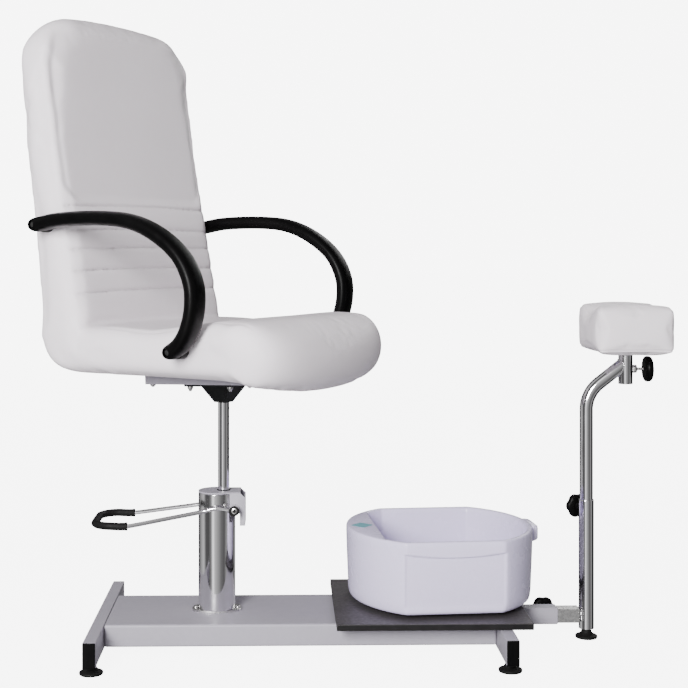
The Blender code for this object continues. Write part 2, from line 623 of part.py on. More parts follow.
def build_sleeve(base, mats):
    """A square sleeve on the front crossbar, the tube that slides in it, and its clamp knob."""
    half = SLEEVE_SIZE / 2
    start = FRONT_BAR_X + BAR_WIDTH / 2 + GAP
    sleeve = box("legrest_sleeve", mats["powder_coat"], base, (start, LEGREST_Y - half, SLEEVE_Z - half),
                 (SLEEVE_END, LEGREST_Y + half, SLEEVE_Z + half), round_edges=0.002)
    bore = half - 0.0018
    inner = box("sleeve_inside", None, base, (start - 0.01, LEGREST_Y - bore, SLEEVE_Z - bore),
                (SLEEVE_END + 0.01, LEGREST_Y + bore, SLEEVE_Z + bore))
    knob_x = 0.697
    away = (math.radians(-90), 0.0, 0.0)
    boss = rod("sleeve_nut", None, base, 0.0085, half - 0.001, half + 0.007, (knob_x, LEGREST_Y, SLEEVE_Z), away)
    weld(sleeve, boss)
    screw_hole = rod("sleeve_screw_hole", None, base, 0.0044, bore - 0.004, half + 0.02,
                     (knob_x, LEGREST_Y, SLEEVE_Z), away)
    cut(sleeve, inner, screw_hole)

    slider = bore - 0.0004
    tube = box("slide_tube", mats["bright_steel"], base, (start + 0.038, LEGREST_Y - slider, SLEEVE_Z - slider),
               (POST_X - POST_RADIUS - GAP, LEGREST_Y + slider, SLEEVE_Z + slider), round_edges=0.002)
    hollow = slider - 0.002
    cut(tube, box("slide_tube_inside", None, base, (start, LEGREST_Y - hollow, SLEEVE_Z - hollow),
                  (POST_X, LEGREST_Y + hollow, SLEEVE_Z + hollow)))
    profile = knob_profile(slider + GAP, half + 0.012)
    lobed_knob("sleeve_knob", mats["black_plastic"], base, profile, (knob_x, LEGREST_Y, SLEEVE_Z), away)


def build_post(base, mats):
    """The outer post tube, its screw-in foot and its clamp knob."""
    low = 0.020
    bore = TUBE_RADIUS + 0.0005
    profile = [(0.0046, low), (POST_RADIUS, low), (POST_RADIUS, POST_TOP), (bore, POST_TOP), (bore, low + 0.006),
               (0.0046, low + 0.006)]
    post = turned("post_tube", mats["chrome"], base, profile, (POST_X, LEGREST_Y, 0.0), sides=32)
    build_level_foot(base, mats["black_rubber"], "post_foot", POST_X, LEGREST_Y, 0.036)

    knob_z = 0.272
    aside = (math.radians(-90), 0.0, math.radians(14))
    place = (POST_X, LEGREST_Y, knob_z)
    boss = rod("post_nut", None, base, 0.0085, 0.0152, 0.0215, place, aside)
    hole = rod("post_screw_hole", None, base, 0.0044, 0.010, 0.040, place, aside)
    weld(post, boss)
    cut(post, hole)
    lobed_knob("post_knob", mats["black_plastic"], base, knob_profile(TUBE_RADIUS + GAP, 0.0260), place, aside)


def tube_route():
    """Centre line of the bent tube: straight up, one bend, then straight into the socket."""
    start = 0.225
    bend_low = 0.483
    radius = 0.070
    turn = 52
    bend = arc((POST_X + radius, bend_low), radius, 180, 180 - turn, 8)
    last_x, last_z = bend[-1]
    slope = math.radians(90 - turn)
    run = (SOCKET_X - 0.006 - last_x) / math.cos(slope)
    tip = (last_x + run * math.cos(slope), last_z + run * math.sin(slope))
    route = [(POST_X, start)] + bend + [tip]
    return [(x, LEGREST_Y, z) for x, z in route]


def build_bent_tube(base, mats):
    """The inner tube with its bush, the socket welded to its tip, and the socket's clamp knob."""
    turned("tube_bush", mats["black_plastic"], base, [(0.0, 0.2095), (0.0142, 0.2095), (0.0142, 0.2247), (0.0, 0.2247)],
           (POST_X, LEGREST_Y, 0.0), sides=24)
    socket_low = 0.537
    socket_top = 0.600
    socket_radius = 0.015
    wall = rod("socket_outside", None, base, socket_radius + GAP, socket_low - 0.01, socket_top + 0.01,
               (SOCKET_X, LEGREST_Y, 0.0), sides=28)
    tube = swept("bent_tube", mats["chrome"], base, tube_route(), circle(TUBE_RADIUS, 24))
    cut(tube, wall)

    bore = 0.0109
    profile = [(bore, socket_low), (socket_radius, socket_low), (socket_radius, socket_top), (bore, socket_top)]
    socket = turned("pad_socket", mats["chrome"], base, profile, (SOCKET_X, LEGREST_Y, 0.0), sides=28)
    forward = (0.0, math.radians(90), 0.0)
    place = (SOCKET_X, LEGREST_Y, 0.5687)
    nut = rod("socket_nut", None, base, 0.0075, 0.0145, 0.0220, place, forward, sides=6)
    hole = rod("socket_screw_hole", None, base, 0.0034, 0.008, 0.040, place, forward)
    weld(socket, nut)
    cut(socket, hole)
    stem_radius = 0.0105
    knob = [(0.0, stem_radius + GAP), (0.0030, stem_radius + GAP), (0.0030, 0.0365), (0.0190, 0.0365),
            (0.0250, 0.0400), (0.0260, 0.0475), (0.0250, 0.0550), (0.0190, 0.0590), (0.0, 0.0590)]
    turned("pad_knob", mats["black_plastic"], base, knob, place, forward, sides=28)


def build_pad(base, mats):
    """Stem and plate, plywood board, and the calf cushion with its shallow valley."""
    stem = [(0.0, 0.542), (0.0105, 0.542), (0.0105, 0.6033), (0.0430, 0.6033), (0.0430, 0.6067), (0.0, 0.6067)]
    turned("pad_stem", mats["bright_steel"], base, stem, (SOCKET_X, LEGREST_Y, 0.0), sides=28)
    board = 0.055
    box("pad_board", mats["plywood"], base, (SOCKET_X - board, LEGREST_Y - board, 0.6070),
        (SOCKET_X + board, LEGREST_Y + board, 0.6150), round_edges=0.001, segments=1)
    half_outline = [(0.056, 0.6155), (0.066, 0.6075), (0.095, 0.6070), (0.095, 0.7000), (0.074, 0.7055),
                    (0.050, 0.7030), (0.026, 0.6930), (0.0, 0.6890)]
    mirrored = [(-y, z) for y, z in reversed(half_outline[:-1])]
    outline = [(LEGREST_Y + y, z) for y, z in half_outline + mirrored]
    prism("leg_cushion", mats["white_vinyl"], base, outline, SOCKET_X - PAD_HALF_LENGTH, SOCKET_X + PAD_HALF_LENGTH,
          "YZ", 0.012, 3)


# ---------------------------------------------------------------- foot bath

def bath_outline(inset, z, left_edge=None, points=40):
    """An ellipse with flat front and rear; the left end may stop short at a straight edge."""
    ring_points = []
    for i in range(points):
        t = 2 * math.pi * i / points
        x = (BATH_HALF_LENGTH - inset) * math.cos(t)
        y = (BATH_HALF_DEPTH - inset) * math.sin(t)
        flat = BATH_FLAT - inset
        y = max(-flat, min(flat, y))
        if left_edge is not None:
            x = max(left_edge, x)
        ring_points.append(Vector((x, y, z)))
    return ring_points


def build_bath(bath, mats):
    """The tub: one moulding with a ledge at its left end, a lip at its right end and four short feet."""
    ledge = -0.137
    rings = [
        [Vector((0.0, 0.0, 0.0905))],
        bath_outline(0.014, 0.0905),
        bath_outline(0.007, 0.0930),
        bath_outline(0.004, 0.0990),
        bath_outline(0.0, 0.2100),
        bath_outline(0.0, BATH_TOP - 0.003),
        bath_outline(0.003, BATH_TOP),
        bath_outline(0.010, BATH_TOP, ledge),
        bath_outline(0.014, BATH_TOP - 0.004, ledge + 0.003),
        bath_outline(0.017, 0.1220, ledge + 0.010),
        bath_outline(0.026, 0.1060, ledge + 0.020),
        bath_outline(0.040, 0.1005, ledge + 0.034),
        [Vector((0.0, 0.0, 0.1000))],
    ]
    shell = skin("bath_shell", mats["white_plastic"], bath, rings)
    lip = box("bath_lip", None, bath, (BATH_HALF_LENGTH - 0.008, -0.040, 0.205),
              (BATH_HALF_LENGTH + 0.0115, 0.040, BATH_TOP - 0.002), round_edges=0.004, segments=2)
    weld(shell, lip)
    for i, (x, y) in enumerate(corners(0.105, 0.125)):
        foot_low = BAR_TOP + GAP + SHELF_THICKNESS + GAP
        weld(shell, rod(f"bath_foot_{i}", None, bath, 0.0110, foot_low, 0.0920, (x, y, 0.0)))

    diamond = [(0.024, 0.0), (0.0, 0.026), (-0.024, 0.0), (0.0, -0.026)]
    place = -0.165
    grown = [(place + x * (1 + 0.02), y * (1 + 0.02)) for x, y in diamond]
    cut(shell, prism("badge_pocket", None, bath, grown, BATH_TOP - 0.0015, BATH_TOP + 0.01))
    prism("rim_badge", mats["teal_plastic"], bath, [(place + x, y) for x, y in diamond],
          BATH_TOP - 0.0015 + GAP, BATH_TOP + 0.0004)


# ---------------------------------------------------------------- whole object

def build_materials():
    return {
        "powder_coat": make_material("powder_coat", (0.58, 0.58, 0.60), 0.45, 0.1),
        "chrome": make_material("chrome", (0.78, 0.78, 0.80), 0.08, 1.0),
        "bright_steel": make_material("bright_steel", (0.66, 0.66, 0.67), 0.25, 1.0),
        "black_steel": make_material("black_steel", (0.02, 0.02, 0.022), 0.45, 0.2),
        "black_plastic": make_material("black_plastic", (0.015, 0.015, 0.016), 0.35),
        "black_rubber": make_material("black_rubber", (0.015, 0.015, 0.015), 0.6),
        "charcoal_board": make_material("charcoal_board", (0.045, 0.043, 0.042), 0.55),
        "plywood": make_material("plywood", (0.45, 0.30, 0.17), 0.7),
        "white_vinyl": make_material("white_vinyl", (0.83, 0.81, 0.82), 0.5),
        "white_plastic": make_material("white_plastic", (0.80, 0.78, 0.86), 0.25),
        "teal_plastic": make_material("teal_plastic", (0.12, 0.52, 0.55), 0.3),
    }


def main():
    clear_scene()
    mats = build_materials()
    base = make_empty("base_frame", PUMP_AXIS)
    chair = make_empty("chair_frame", (ROD_X, 0.0, 0.0), (0.0, 0.0, SEAT_YAW), base)
    plate = make_empty("plate_frame", (0.0, 0.0, FRAME_BOTTOM), (0.0, SEAT_TILT, 0.0), chair)
    lean = make_empty("back_frame", (-0.243, 0.0, 0.600), (0.0, BACK_LEAN, 0.0), chair)
    bath = make_empty("bath_frame", (*BATH_CENTRE, 0.0), (0.0, 0.0, BATH_YAW), base)

    build_base(base, mats)
    build_pump_body(base, mats)
    build_lever(base, mats)
    build_rod(base, chair, mats)
    build_mount(chair, plate, mats)
    build_seat_frame(plate, mats)
    build_back_structure(chair, lean, mats)
    build_cushions(chair, plate, lean, mats)
    build_arm(chair, mats, "arm_left", 1)
    build_arm(chair, mats, "arm_right", -1)
    build_sleeve(base, mats)
    build_post(base, mats)
    build_bent_tube(base, mats)
    build_pad(base, mats)
    build_bath(bath, mats)


main()
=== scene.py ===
"""Visual model of a pedicure station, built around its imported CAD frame.

Base pieces are made in the pump's frame and chair pieces in the chair's frame, whose +X is the way that the
sitter faces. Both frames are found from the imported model. Metres, +Z up.
"""

import json
import math

import bmesh
import bpy
from mathutils import Matrix, Vector, noise

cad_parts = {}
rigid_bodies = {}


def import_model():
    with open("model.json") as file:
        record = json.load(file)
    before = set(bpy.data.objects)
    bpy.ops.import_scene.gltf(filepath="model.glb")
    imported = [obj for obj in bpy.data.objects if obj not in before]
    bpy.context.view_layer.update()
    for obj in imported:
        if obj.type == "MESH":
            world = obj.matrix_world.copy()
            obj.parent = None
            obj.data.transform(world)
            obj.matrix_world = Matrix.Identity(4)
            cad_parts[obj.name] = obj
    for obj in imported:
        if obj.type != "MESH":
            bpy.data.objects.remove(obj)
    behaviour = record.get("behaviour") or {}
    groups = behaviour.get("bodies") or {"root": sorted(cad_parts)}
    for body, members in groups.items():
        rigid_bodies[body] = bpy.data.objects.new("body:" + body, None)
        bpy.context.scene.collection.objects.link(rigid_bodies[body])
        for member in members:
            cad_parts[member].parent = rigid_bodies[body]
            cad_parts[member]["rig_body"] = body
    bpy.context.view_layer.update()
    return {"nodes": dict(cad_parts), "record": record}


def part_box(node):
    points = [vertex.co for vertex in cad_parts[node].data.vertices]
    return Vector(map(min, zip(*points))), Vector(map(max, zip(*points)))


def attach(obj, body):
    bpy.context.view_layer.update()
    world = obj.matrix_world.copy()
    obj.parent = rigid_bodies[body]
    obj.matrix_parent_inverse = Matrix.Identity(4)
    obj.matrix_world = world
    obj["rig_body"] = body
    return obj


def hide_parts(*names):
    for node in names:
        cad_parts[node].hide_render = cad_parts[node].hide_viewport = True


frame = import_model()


def middle(node):
    low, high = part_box(node)
    return (low + high) / 2


def on_floor(point):
    return Vector((point.x, point.y, 0.0))


PUMP = on_floor(middle("pump_housing"))
ROD = on_floor(middle("piston_rod"))
SEAT_YAW = math.radians(-32.0)
SEAT_TILT = math.radians(-2.5)

BASE = Matrix.Translation(PUMP)
CHAIR = Matrix.Translation(ROD) @ Matrix.Rotation(SEAT_YAW, 4, "Z")
PLATE = CHAIR @ Matrix.Translation((0.0, 0.0, 0.548)) @ Matrix.Rotation(SEAT_TILT, 4, "Y")
TUB = BASE @ Matrix.Translation((0.4695, 0.042, 0.0)) @ Matrix.Rotation(math.radians(4.5), 4, "Z")

SLOT_OF = {entry["node"]: entry["material_slot"] for entry in frame["record"]["subparts"]}
BACKDROP = 7.5                              # brightness of the backdrop to the camera
HALF_WIDTH = 0.254                          # of the seat and back
ARM_OFFSET = 0.285
PIVOT = Vector((0.038, 0.0, 0.285))         # of the pump lever, in the pump's frame
LEGREST_Y = 0.020
POST_X = 0.7805
SOCKET_X = 0.864


# ---------------------------------------------------------------- shapes

def smooth_step(value, low, high):
    t = min(max((value - low) / (high - low), 0.0), 1.0)
    return t * t * (3.0 - 2.0 * t)


def arc(centre, radius, start, end, steps):
    """Points of an arc, angles in degrees."""
    angles = [math.radians(start + (end - start) * i / steps) for i in range(steps + 1)]
    return [(centre[0] + radius * math.cos(a), centre[1] + radius * math.sin(a)) for a in angles]


def rounded(points, radius=0.0, steps=5, closed=False):
    """An outline with its corners softened. A point may bring its own radius as a third value."""
    result = []
    last = len(points) - 1
    for i, point in enumerate(points):
        here = Vector(point[:2])
        own = point[2] if len(point) > 2 else radius
        if own == 0.0 or (not closed and i in (0, last)):
            result.append((here.x, here.y))
            continue
        before = Vector(points[i - 1][:2]) - here
        after = Vector(points[(i + 1) % len(points)][:2]) - here
        reach = min(own, before.length * 0.49, after.length * 0.49)
        start = here + before.normalized() * reach
        end = here + after.normalized() * reach
        for step in range(steps + 1):
            t = step / steps
            bend = start * (1 - t) ** 2 + here * 2 * t * (1 - t) + end * t * t
            result.append((bend.x, bend.y))
    return result


def curve_through(knots, steps):
    """A smooth curve through points, as many steps between each pair."""
    knots = [Vector(k) for k in knots]
    padded = [knots[0] * 2 - knots[1]] + knots + [knots[-1] * 2 - knots[-2]]
    route = []
    for i in range(1, len(padded) - 2):
        before, start, end, after = padded[i - 1:i + 3]
        for step in range(steps):
            t = step / steps
            route.append((2 * start + (end - before) * t + (2 * before - 5 * start + 4 * end - after) * t * t
                          + (3 * start - before - 3 * end + after) * t ** 3) / 2)
    return route + [knots[-1]]


def circle(radius, sides):
    turns = [2 * math.pi * i / sides for i in range(sides)]
    return [(radius * math.cos(t), radius * math.sin(t)) for t in turns]


def joined_rings(rings, closed=False):
    """Vertices and faces that join rings of points. A ring of one point is a tip; open ends get caps."""
    verts = []
    loops = []
    for ring in rings:
        loops.append(list(range(len(verts), len(verts) + len(ring))))
        verts.extend(ring)
    faces = []
    pairs = list(zip(loops, loops[1:]))
    if closed:
        pairs.append((loops[-1], loops[0]))
    for first, second in pairs:
        count = max(len(first), len(second))
        for i in range(count):
            j = (i + 1) % count
            corners = ((first, i), (first, j), (second, j), (second, i))
            quad = [loop[k % len(loop)] for loop, k in corners]
            faces.append(list(dict.fromkeys(quad)))
    if not closed:
        faces.extend(loop for loop in (loops[0], loops[-1]) if len(loop) > 2)
    return verts, faces


def make_mesh(name, verts, faces, place, crease=32.0):
    """An object with outward faces, smooth but for edges sharper than the crease angle."""
    mesh = bpy.data.meshes.new(name)
    mesh.from_pydata([place @ Vector(v) for v in verts], [], faces)
    bm = bmesh.new()
    bm.from_mesh(mesh)
    bmesh.ops.recalc_face_normals(bm, faces=bm.faces)
    bm.to_mesh(mesh)
    bm.free()
    mesh.shade_smooth()
    mesh.set_sharp_from_angle(angle=math.radians(crease))
    obj = bpy.data.objects.new(name, mesh)
    bpy.context.scene.collection.objects.link(obj)
    return obj


def turned(name, profile, place, at=(0, 0, 0), turn=None, sides=64, soft=0.0):
    """A solid of revolution about its own Z from (radius, height) points, with softened corners."""
    spin = Matrix.Translation(at) @ (turn or Matrix.Identity(4))
    outline = rounded(profile, soft)
    rings = []
    for radius, z in outline:
        if radius < 1e-6:
            rings.append([spin @ Vector((0.0, 0.0, z))])
        else:
            rings.append([spin @ Vector((u, v, z)) for u, v in circle(radius, sides)])
    on_axis = outline[0][0] < 1e-6 and outline[-1][0] < 1e-6
    verts, faces = joined_rings(rings, not on_axis)
    return make_mesh(name, verts, faces, place)


def sweep_frames(path, first_side=(0.0, 1.0, 0.0)):
    """Point, side, up and direction at each point of a path, without twist."""
    side = Vector(first_side)
    frames = []
    for i, point in enumerate(path):
        ahead = (path[min(i + 1, len(path) - 1)] - path[max(i - 1, 0)]).normalized()
        side = (side - ahead * side.dot(ahead)).normalized()
        frames.append((point, side.copy(), ahead.cross(side), ahead))
    return frames


def swept(name, path, section, place, bore=None):
    """A section carried along a path. A bore makes it a tube."""
    frames = sweep_frames([Vector(p) for p in path])
    rings = [[p + s * u + n * v for u, v in section] for p, s, n, _ in frames]
    if bore:
        rings += [[p + s * u + n * v for u, v in bore] for p, s, n, _ in reversed(frames)]
    verts, faces = joined_rings(rings, closed=bore is not None)
    return make_mesh(name, verts, faces, place, crease=50.0)


def apply_modifiers(obj):
    """Replace an object's mesh with what its modifiers make of it."""
    depsgraph = bpy.context.evaluated_depsgraph_get()
    mesh = bpy.data.meshes.new_from_object(obj.evaluated_get(depsgraph))
    obj.modifiers.clear()
    obj.data = mesh


def refined(node, round_edges, segments=3):
    """A copy of a CAD node's mesh with clean flat faces and finely rounded edges."""
    mesh = frame["nodes"][node].data.copy()
    bm = bmesh.new()
    bm.from_mesh(mesh)
    bmesh.ops.remove_doubles(bm, verts=bm.verts, dist=1e-5)
    bmesh.ops.dissolve_limit(bm, angle_limit=math.radians(1.0), verts=bm.verts, edges=bm.edges)
    sharp = [e for e in bm.edges if e.is_manifold and e.calc_face_angle(0.0) > math.radians(38)]
    bmesh.ops.bevel(bm, geom=sharp, offset=round_edges, segments=segments, affect="EDGES",
                    profile=0.5, clamp_overlap=True)
    bm.to_mesh(mesh)
    bm.free()
    mesh.name = node + "_shape"
    mesh.shade_smooth()
    mesh.set_sharp_from_angle(angle=math.radians(45))
    obj = bpy.data.objects.new(mesh.name, mesh)
    bpy.context.scene.collection.objects.link(obj)
    even = obj.modifiers.new("Even", "WEIGHTED_NORMAL")
    even.keep_sharp = True
    apply_modifiers(obj)
    return obj


# ---------------------------------------------------------------- materials

def node_with(tree, kind, *inputs, **settings):
    """A new node, its first sockets filled or linked in order."""
    node = tree.nodes.new(kind)
    for name, value in settings.items():
        setattr(node, name, value)
    for socket, value in zip(node.inputs, inputs):
        if isinstance(value, bpy.types.NodeSocket):
            tree.links.new(value, socket)
        else:
            socket.default_value = value
    return node


class Shading:
    """A material being built: its node tree, its shader and the object coordinates."""

    def __init__(self, name, colour, roughness, metallic=0.0, **sockets):
        self.mat = bpy.data.materials.new(name)
        self.mat.use_nodes = True
        self.tree = self.mat.node_tree
        self.shader = self.tree.nodes["Principled BSDF"]
        self.colour = colour
        self.shader.inputs["Base Color"].default_value = (*colour, 1.0)
        self.shader.inputs["Roughness"].default_value = roughness
        self.shader.inputs["Metallic"].default_value = metallic
        for socket, value in sockets.items():
            self.shader.inputs[socket.replace("_", " ")].default_value = value
        self.coords = self.add("ShaderNodeTexCoord").outputs["Object"]

    def add(self, kind, **inputs):
        node = self.tree.nodes.new(kind)
        for socket, value in inputs.items():
            self.put(node.inputs[socket.replace("_", " ")], value)
        return node

    def put(self, socket, value):
        if isinstance(value, bpy.types.NodeSocket):
            self.tree.links.new(value, socket)
        else:
            socket.default_value = value

    def noise(self, scale, detail=4.0, rough=0.5, stretch=(1.0, 1.0, 1.0)):
        mapping = self.add("ShaderNodeMapping", Vector=self.coords, Scale=stretch)
        node = self.add("ShaderNodeTexNoise", Vector=mapping.outputs[0], Scale=scale, Detail=detail,
                        Roughness=rough)
        return node.outputs["Fac"]

    def cells(self, scale, feature="F1"):
        node = self.add("ShaderNodeTexVoronoi", Vector=self.coords, Scale=scale)
        node.feature = feature
        return node.outputs["Distance"]

    def spread(self, value, low, high, to_low, to_high):
        """A value from one range brought to another, clamped."""
        return node_with(self.tree, "ShaderNodeMapRange", value, low, high, to_low, to_high).outputs[0]

    def mixed_math(self, operation, first, second):
        return node_with(self.tree, "ShaderNodeMath", first, second, operation=operation).outputs[0]

    def tint(self, factor, other):
        """Blend the material's colour towards another one where the factor is high."""
        node = self.tree.nodes.new("ShaderNodeMix")
        node.data_type = "RGBA"
        self.put(node.inputs["Factor"], factor)
        base = self.shader.inputs["Base Color"]
        if base.is_linked:
            self.put(node.inputs[6], base.links[0].from_socket)
        else:
            node.inputs[6].default_value = (*self.colour, 1.0)
        node.inputs[7].default_value = (*other, 1.0)
        self.put(base, node.outputs[2])

    def roughen(self, value):
        self.put(self.shader.inputs["Roughness"], value)

    def bump(self, height, strength, distance):
        node = self.add("ShaderNodeBump", Height=height, Strength=strength, Distance=distance)
        normal = self.shader.inputs["Normal"]
        if normal.is_linked:
            self.put(node.inputs["Normal"], normal.links[0].from_socket)
        self.put(normal, node.outputs[0])

    def worn_edges(self, colour, amount):
        """Lighter, rubbed edges, broken up by noise."""
        edge = self.spread(self.add("ShaderNodeNewGeometry").outputs["Pointiness"], 0.53, 0.62, 0.0, amount)
        self.tint(self.mixed_math("MULTIPLY", edge, self.noise(90.0)), colour)


def vinyl_material():
    s = Shading("white_vinyl", (0.800, 0.742, 0.784), 0.50, Specular_IOR_Level=0.34)
    s.tint(s.spread(s.noise(3.5, 3.0), 0.35, 0.75, 0.0, 0.30), (0.750, 0.687, 0.730))
    s.tint(s.spread(s.noise(42.0, 5.0), 0.45, 0.80, 0.0, 0.16), (0.87, 0.85, 0.865))
    s.roughen(s.spread(s.noise(60.0, 4.0), 0.3, 0.7, 0.44, 0.58))
    grain = s.cells(1150.0, "SMOOTH_F1")
    pores = s.noise(2300.0, 2.0)
    s.bump(s.mixed_math("ADD", grain, s.mixed_math("MULTIPLY", pores, 0.5)), 0.16, 0.0006)
    s.bump(s.noise(34.0, 3.0), 0.10, 0.002)
    return s.mat


def black_plastic_material():
    s = Shading("black_plastic", (0.0016, 0.0015, 0.0016), 0.36, Specular_IOR_Level=0.075)
    s.tint(s.spread(s.noise(14.0, 4.0), 0.45, 0.8, 0.0, 0.5), (0.0034, 0.0032, 0.0034))
    s.worn_edges((0.012, 0.012, 0.012), 0.5)
    s.roughen(s.spread(s.noise(36.0, 5.0), 0.3, 0.7, 0.30, 0.46))
    s.bump(s.cells(1400.0), 0.10, 0.0003)
    return s.mat


def plywood_material():
    s = Shading("plywood", (0.50, 0.34, 0.19), 0.68)
    wave = s.add("ShaderNodeTexWave", Vector=s.coords, Scale=55.0, Distortion=2.5, Detail=3.0)
    wave.bands_direction = "Z"
    s.tint(s.spread(wave.outputs["Fac"], 0.3, 0.8, 0.0, 0.7), (0.36, 0.22, 0.11))
    s.tint(s.spread(s.noise(60.0, 6.0, stretch=(0.1, 1.0, 1.0)), 0.45, 0.75, 0.0, 0.5), (0.60, 0.44, 0.27))
    s.bump(s.noise(240.0, 5.0, stretch=(0.1, 1.0, 1.0)), 0.4, 0.0006)
    return s.mat


def layered_material(name, colour, roughness, tints, rough, bump, worn=None, metallic=0.0, specular=0.5):
    """A material of noise layers: tints, rubbed edges, uneven roughness and a fine bump."""
    s = Shading(name, colour, roughness, metallic, Specular_IOR_Level=specular)
    for scale, detail, low, high, amount, other, *stretch in tints:
        s.tint(s.spread(s.noise(scale, detail, 0.5, *stretch), low, high, 0.0, amount), other)
    if worn:
        s.worn_edges(*worn)
    scale, detail, low, high, least, most = rough
    s.roughen(s.spread(s.noise(scale, detail), low, high, least, most))
    scale, detail, strength, distance, *stretch = bump
    s.bump(s.noise(scale, detail, 0.5, *stretch), strength, distance)
    return s.mat


# Each tint is (scale, detail, low, high, amount, colour, stretch), and rough is (scale, detail, low, high,
# least, most). Bump is (scale, detail, strength, distance, stretch) and worn is (colour, amount).
LAYERED = {
    "powder_coat": dict(
        colour=(0.318, 0.298, 0.350), roughness=0.42, specular=0.40, worn=((0.50, 0.49, 0.51), 0.6),
        tints=[(5.0, 3.0, 0.35, 0.75, 0.4, (0.285, 0.267, 0.314)),
               (900.0, 2.0, 0.62, 0.75, 0.25, (0.40, 0.39, 0.41))],
        rough=(24.0, 4.0, 0.3, 0.7, 0.36, 0.50), bump=(620.0, 3.0, 0.16, 0.0005)),
    "chrome": dict(
        colour=(0.78, 0.77, 0.79), roughness=0.08, metallic=1.0,
        tints=[(9.0, 3.0, 0.4, 0.8, 0.35, (0.70, 0.69, 0.70))],
        rough=(28.0, 6.0, 0.3, 0.75, 0.055, 0.15), bump=(420.0, 3.0, 0.03, 0.0004, (1.0, 1.0, 0.06))),
    "bright_steel": dict(
        colour=(0.62, 0.61, 0.61), roughness=0.27, metallic=1.0,
        tints=[(70.0, 4.0, 0.4, 0.8, 0.5, (0.58, 0.57, 0.56))],
        rough=(160.0, 4.0, 0.3, 0.7, 0.20, 0.38), bump=(900.0, 3.0, 0.10, 0.0003, (1.0, 0.2, 1.0))),
    "black_steel": dict(
        colour=(0.0040, 0.0040, 0.0043), roughness=0.42, specular=0.16, worn=((0.05, 0.05, 0.05), 0.7),
        tints=[(60.0, 4.0, 0.5, 0.8, 0.5, (0.009, 0.009, 0.010))],
        rough=(45.0, 4.0, 0.3, 0.7, 0.32, 0.50), bump=(700.0, 3.0, 0.15, 0.0004)),
    "black_rubber": dict(
        colour=(0.0042, 0.0040, 0.0040), roughness=0.60, specular=0.16,
        tints=[(50.0, 5.0, 0.45, 0.8, 0.6, (0.0100, 0.0096, 0.0096))],
        rough=(80.0, 4.0, 0.3, 0.7, 0.55, 0.78), bump=(1100.0, 4.0, 0.25, 0.0005)),
    "charcoal_board": dict(
        colour=(0.046, 0.041, 0.044), roughness=0.48, specular=0.30, worn=((0.08, 0.075, 0.077), 0.6),
        tints=[(26.0, 6.0, 0.42, 0.75, 0.5, (0.068, 0.062, 0.065), (0.15, 1.0, 1.0))],
        rough=(120.0, 5.0, 0.3, 0.7, 0.40, 0.56), bump=(900.0, 4.0, 0.22, 0.0004, (0.3, 1.0, 1.0))),
    "edge_band": dict(
        colour=(0.0080, 0.0074, 0.0078), roughness=0.45, specular=0.2, worn=((0.05, 0.047, 0.048), 0.6),
        tints=[(40.0, 4.0, 0.45, 0.8, 0.5, (0.014, 0.013, 0.0135))],
        rough=(90.0, 4.0, 0.3, 0.7, 0.38, 0.52), bump=(700.0, 3.0, 0.10, 0.0003)),
    "white_plastic": dict(
        colour=(0.655, 0.600, 0.815), roughness=0.27, specular=0.42,
        tints=[(4.0, 3.0, 0.4, 0.8, 0.3, (0.625, 0.570, 0.780))],
        rough=(30.0, 5.0, 0.3, 0.7, 0.20, 0.32), bump=(380.0, 3.0, 0.03, 0.0004)),
    "teal_plastic": dict(
        colour=(0.135, 0.360, 0.420), roughness=0.40, specular=0.15,
        tints=[(90.0, 3.0, 0.4, 0.8, 0.4, (0.165, 0.41, 0.47))],
        rough=(200.0, 3.0, 0.3, 0.7, 0.34, 0.46), bump=(500.0, 2.0, 0.05, 0.0003)),
}
MATERIALS = {name: layered_material(name, **layers) for name, layers in LAYERED.items()}
MATERIALS["white_vinyl"] = vinyl_material()
MATERIALS["black_plastic"] = black_plastic_material()
MATERIALS["plywood"] = plywood_material()


def dress(obj, body, *replaced, slot=None):
    """Give a new piece the finish of the CAD node that it replaces, or of a named slot, and its body."""
    name = slot or SLOT_OF[replaced[0]]
    obj.data.materials.clear()
    obj.data.materials.append(MATERIALS[name])
    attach(obj, body)
    if replaced:
        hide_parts(*replaced)


# ---------------------------------------------------------------- upholstery

def outline_normals(outline):
    """Outward normals of a closed outline that runs clockwise or counter-clockwise."""
    area = sum(a[0] * b[1] - b[0] * a[1] for a, b in zip(outline, outline[1:] + outline[:1]))
    sign = 1.0 if area > 0 else -1.0
    normals = []
    for i in range(len(outline)):
        before = outline[i - 1]
        after = outline[(i + 1) % len(outline)]
        along = Vector((after[0] - before[0], after[1] - before[1])).normalized()
        normals.append(Vector((along.y, -along.x)) * sign)
    return normals


def cushion_block(outline, half, edge, place_point, stations=40):
    """Rings of a padded block: its side outline repeated across the width and drawn in at both edges."""
    normals = outline_normals(outline)
    rings = []
    for i in range(stations + 1):
        y = -half * math.cos(math.pi * i / stations)
        over = max(0.0, abs(y) - (half - edge))
        inset = edge - math.sqrt(max(edge * edge - over * over, 0.0))
        ring = []
        for (x, z), normal in zip(outline, normals):
            ring.append(place_point(x - normal.x * inset, y, z - normal.y * inset))
        rings.append(ring)
    return joined_rings(rings)


def even_spacing(outline, step):
    """The same closed outline with its points spaced evenly."""
    result = []
    for start, end in zip(outline, outline[1:] + outline[:1]):
        length = math.dist(start, end)
        pieces = max(1, round(length / step))
        result += [(start[0] + (end[0] - start[0]) * i / pieces, start[1] + (end[1] - start[1]) * i / pieces)
                   for i in range(pieces)]
    return result


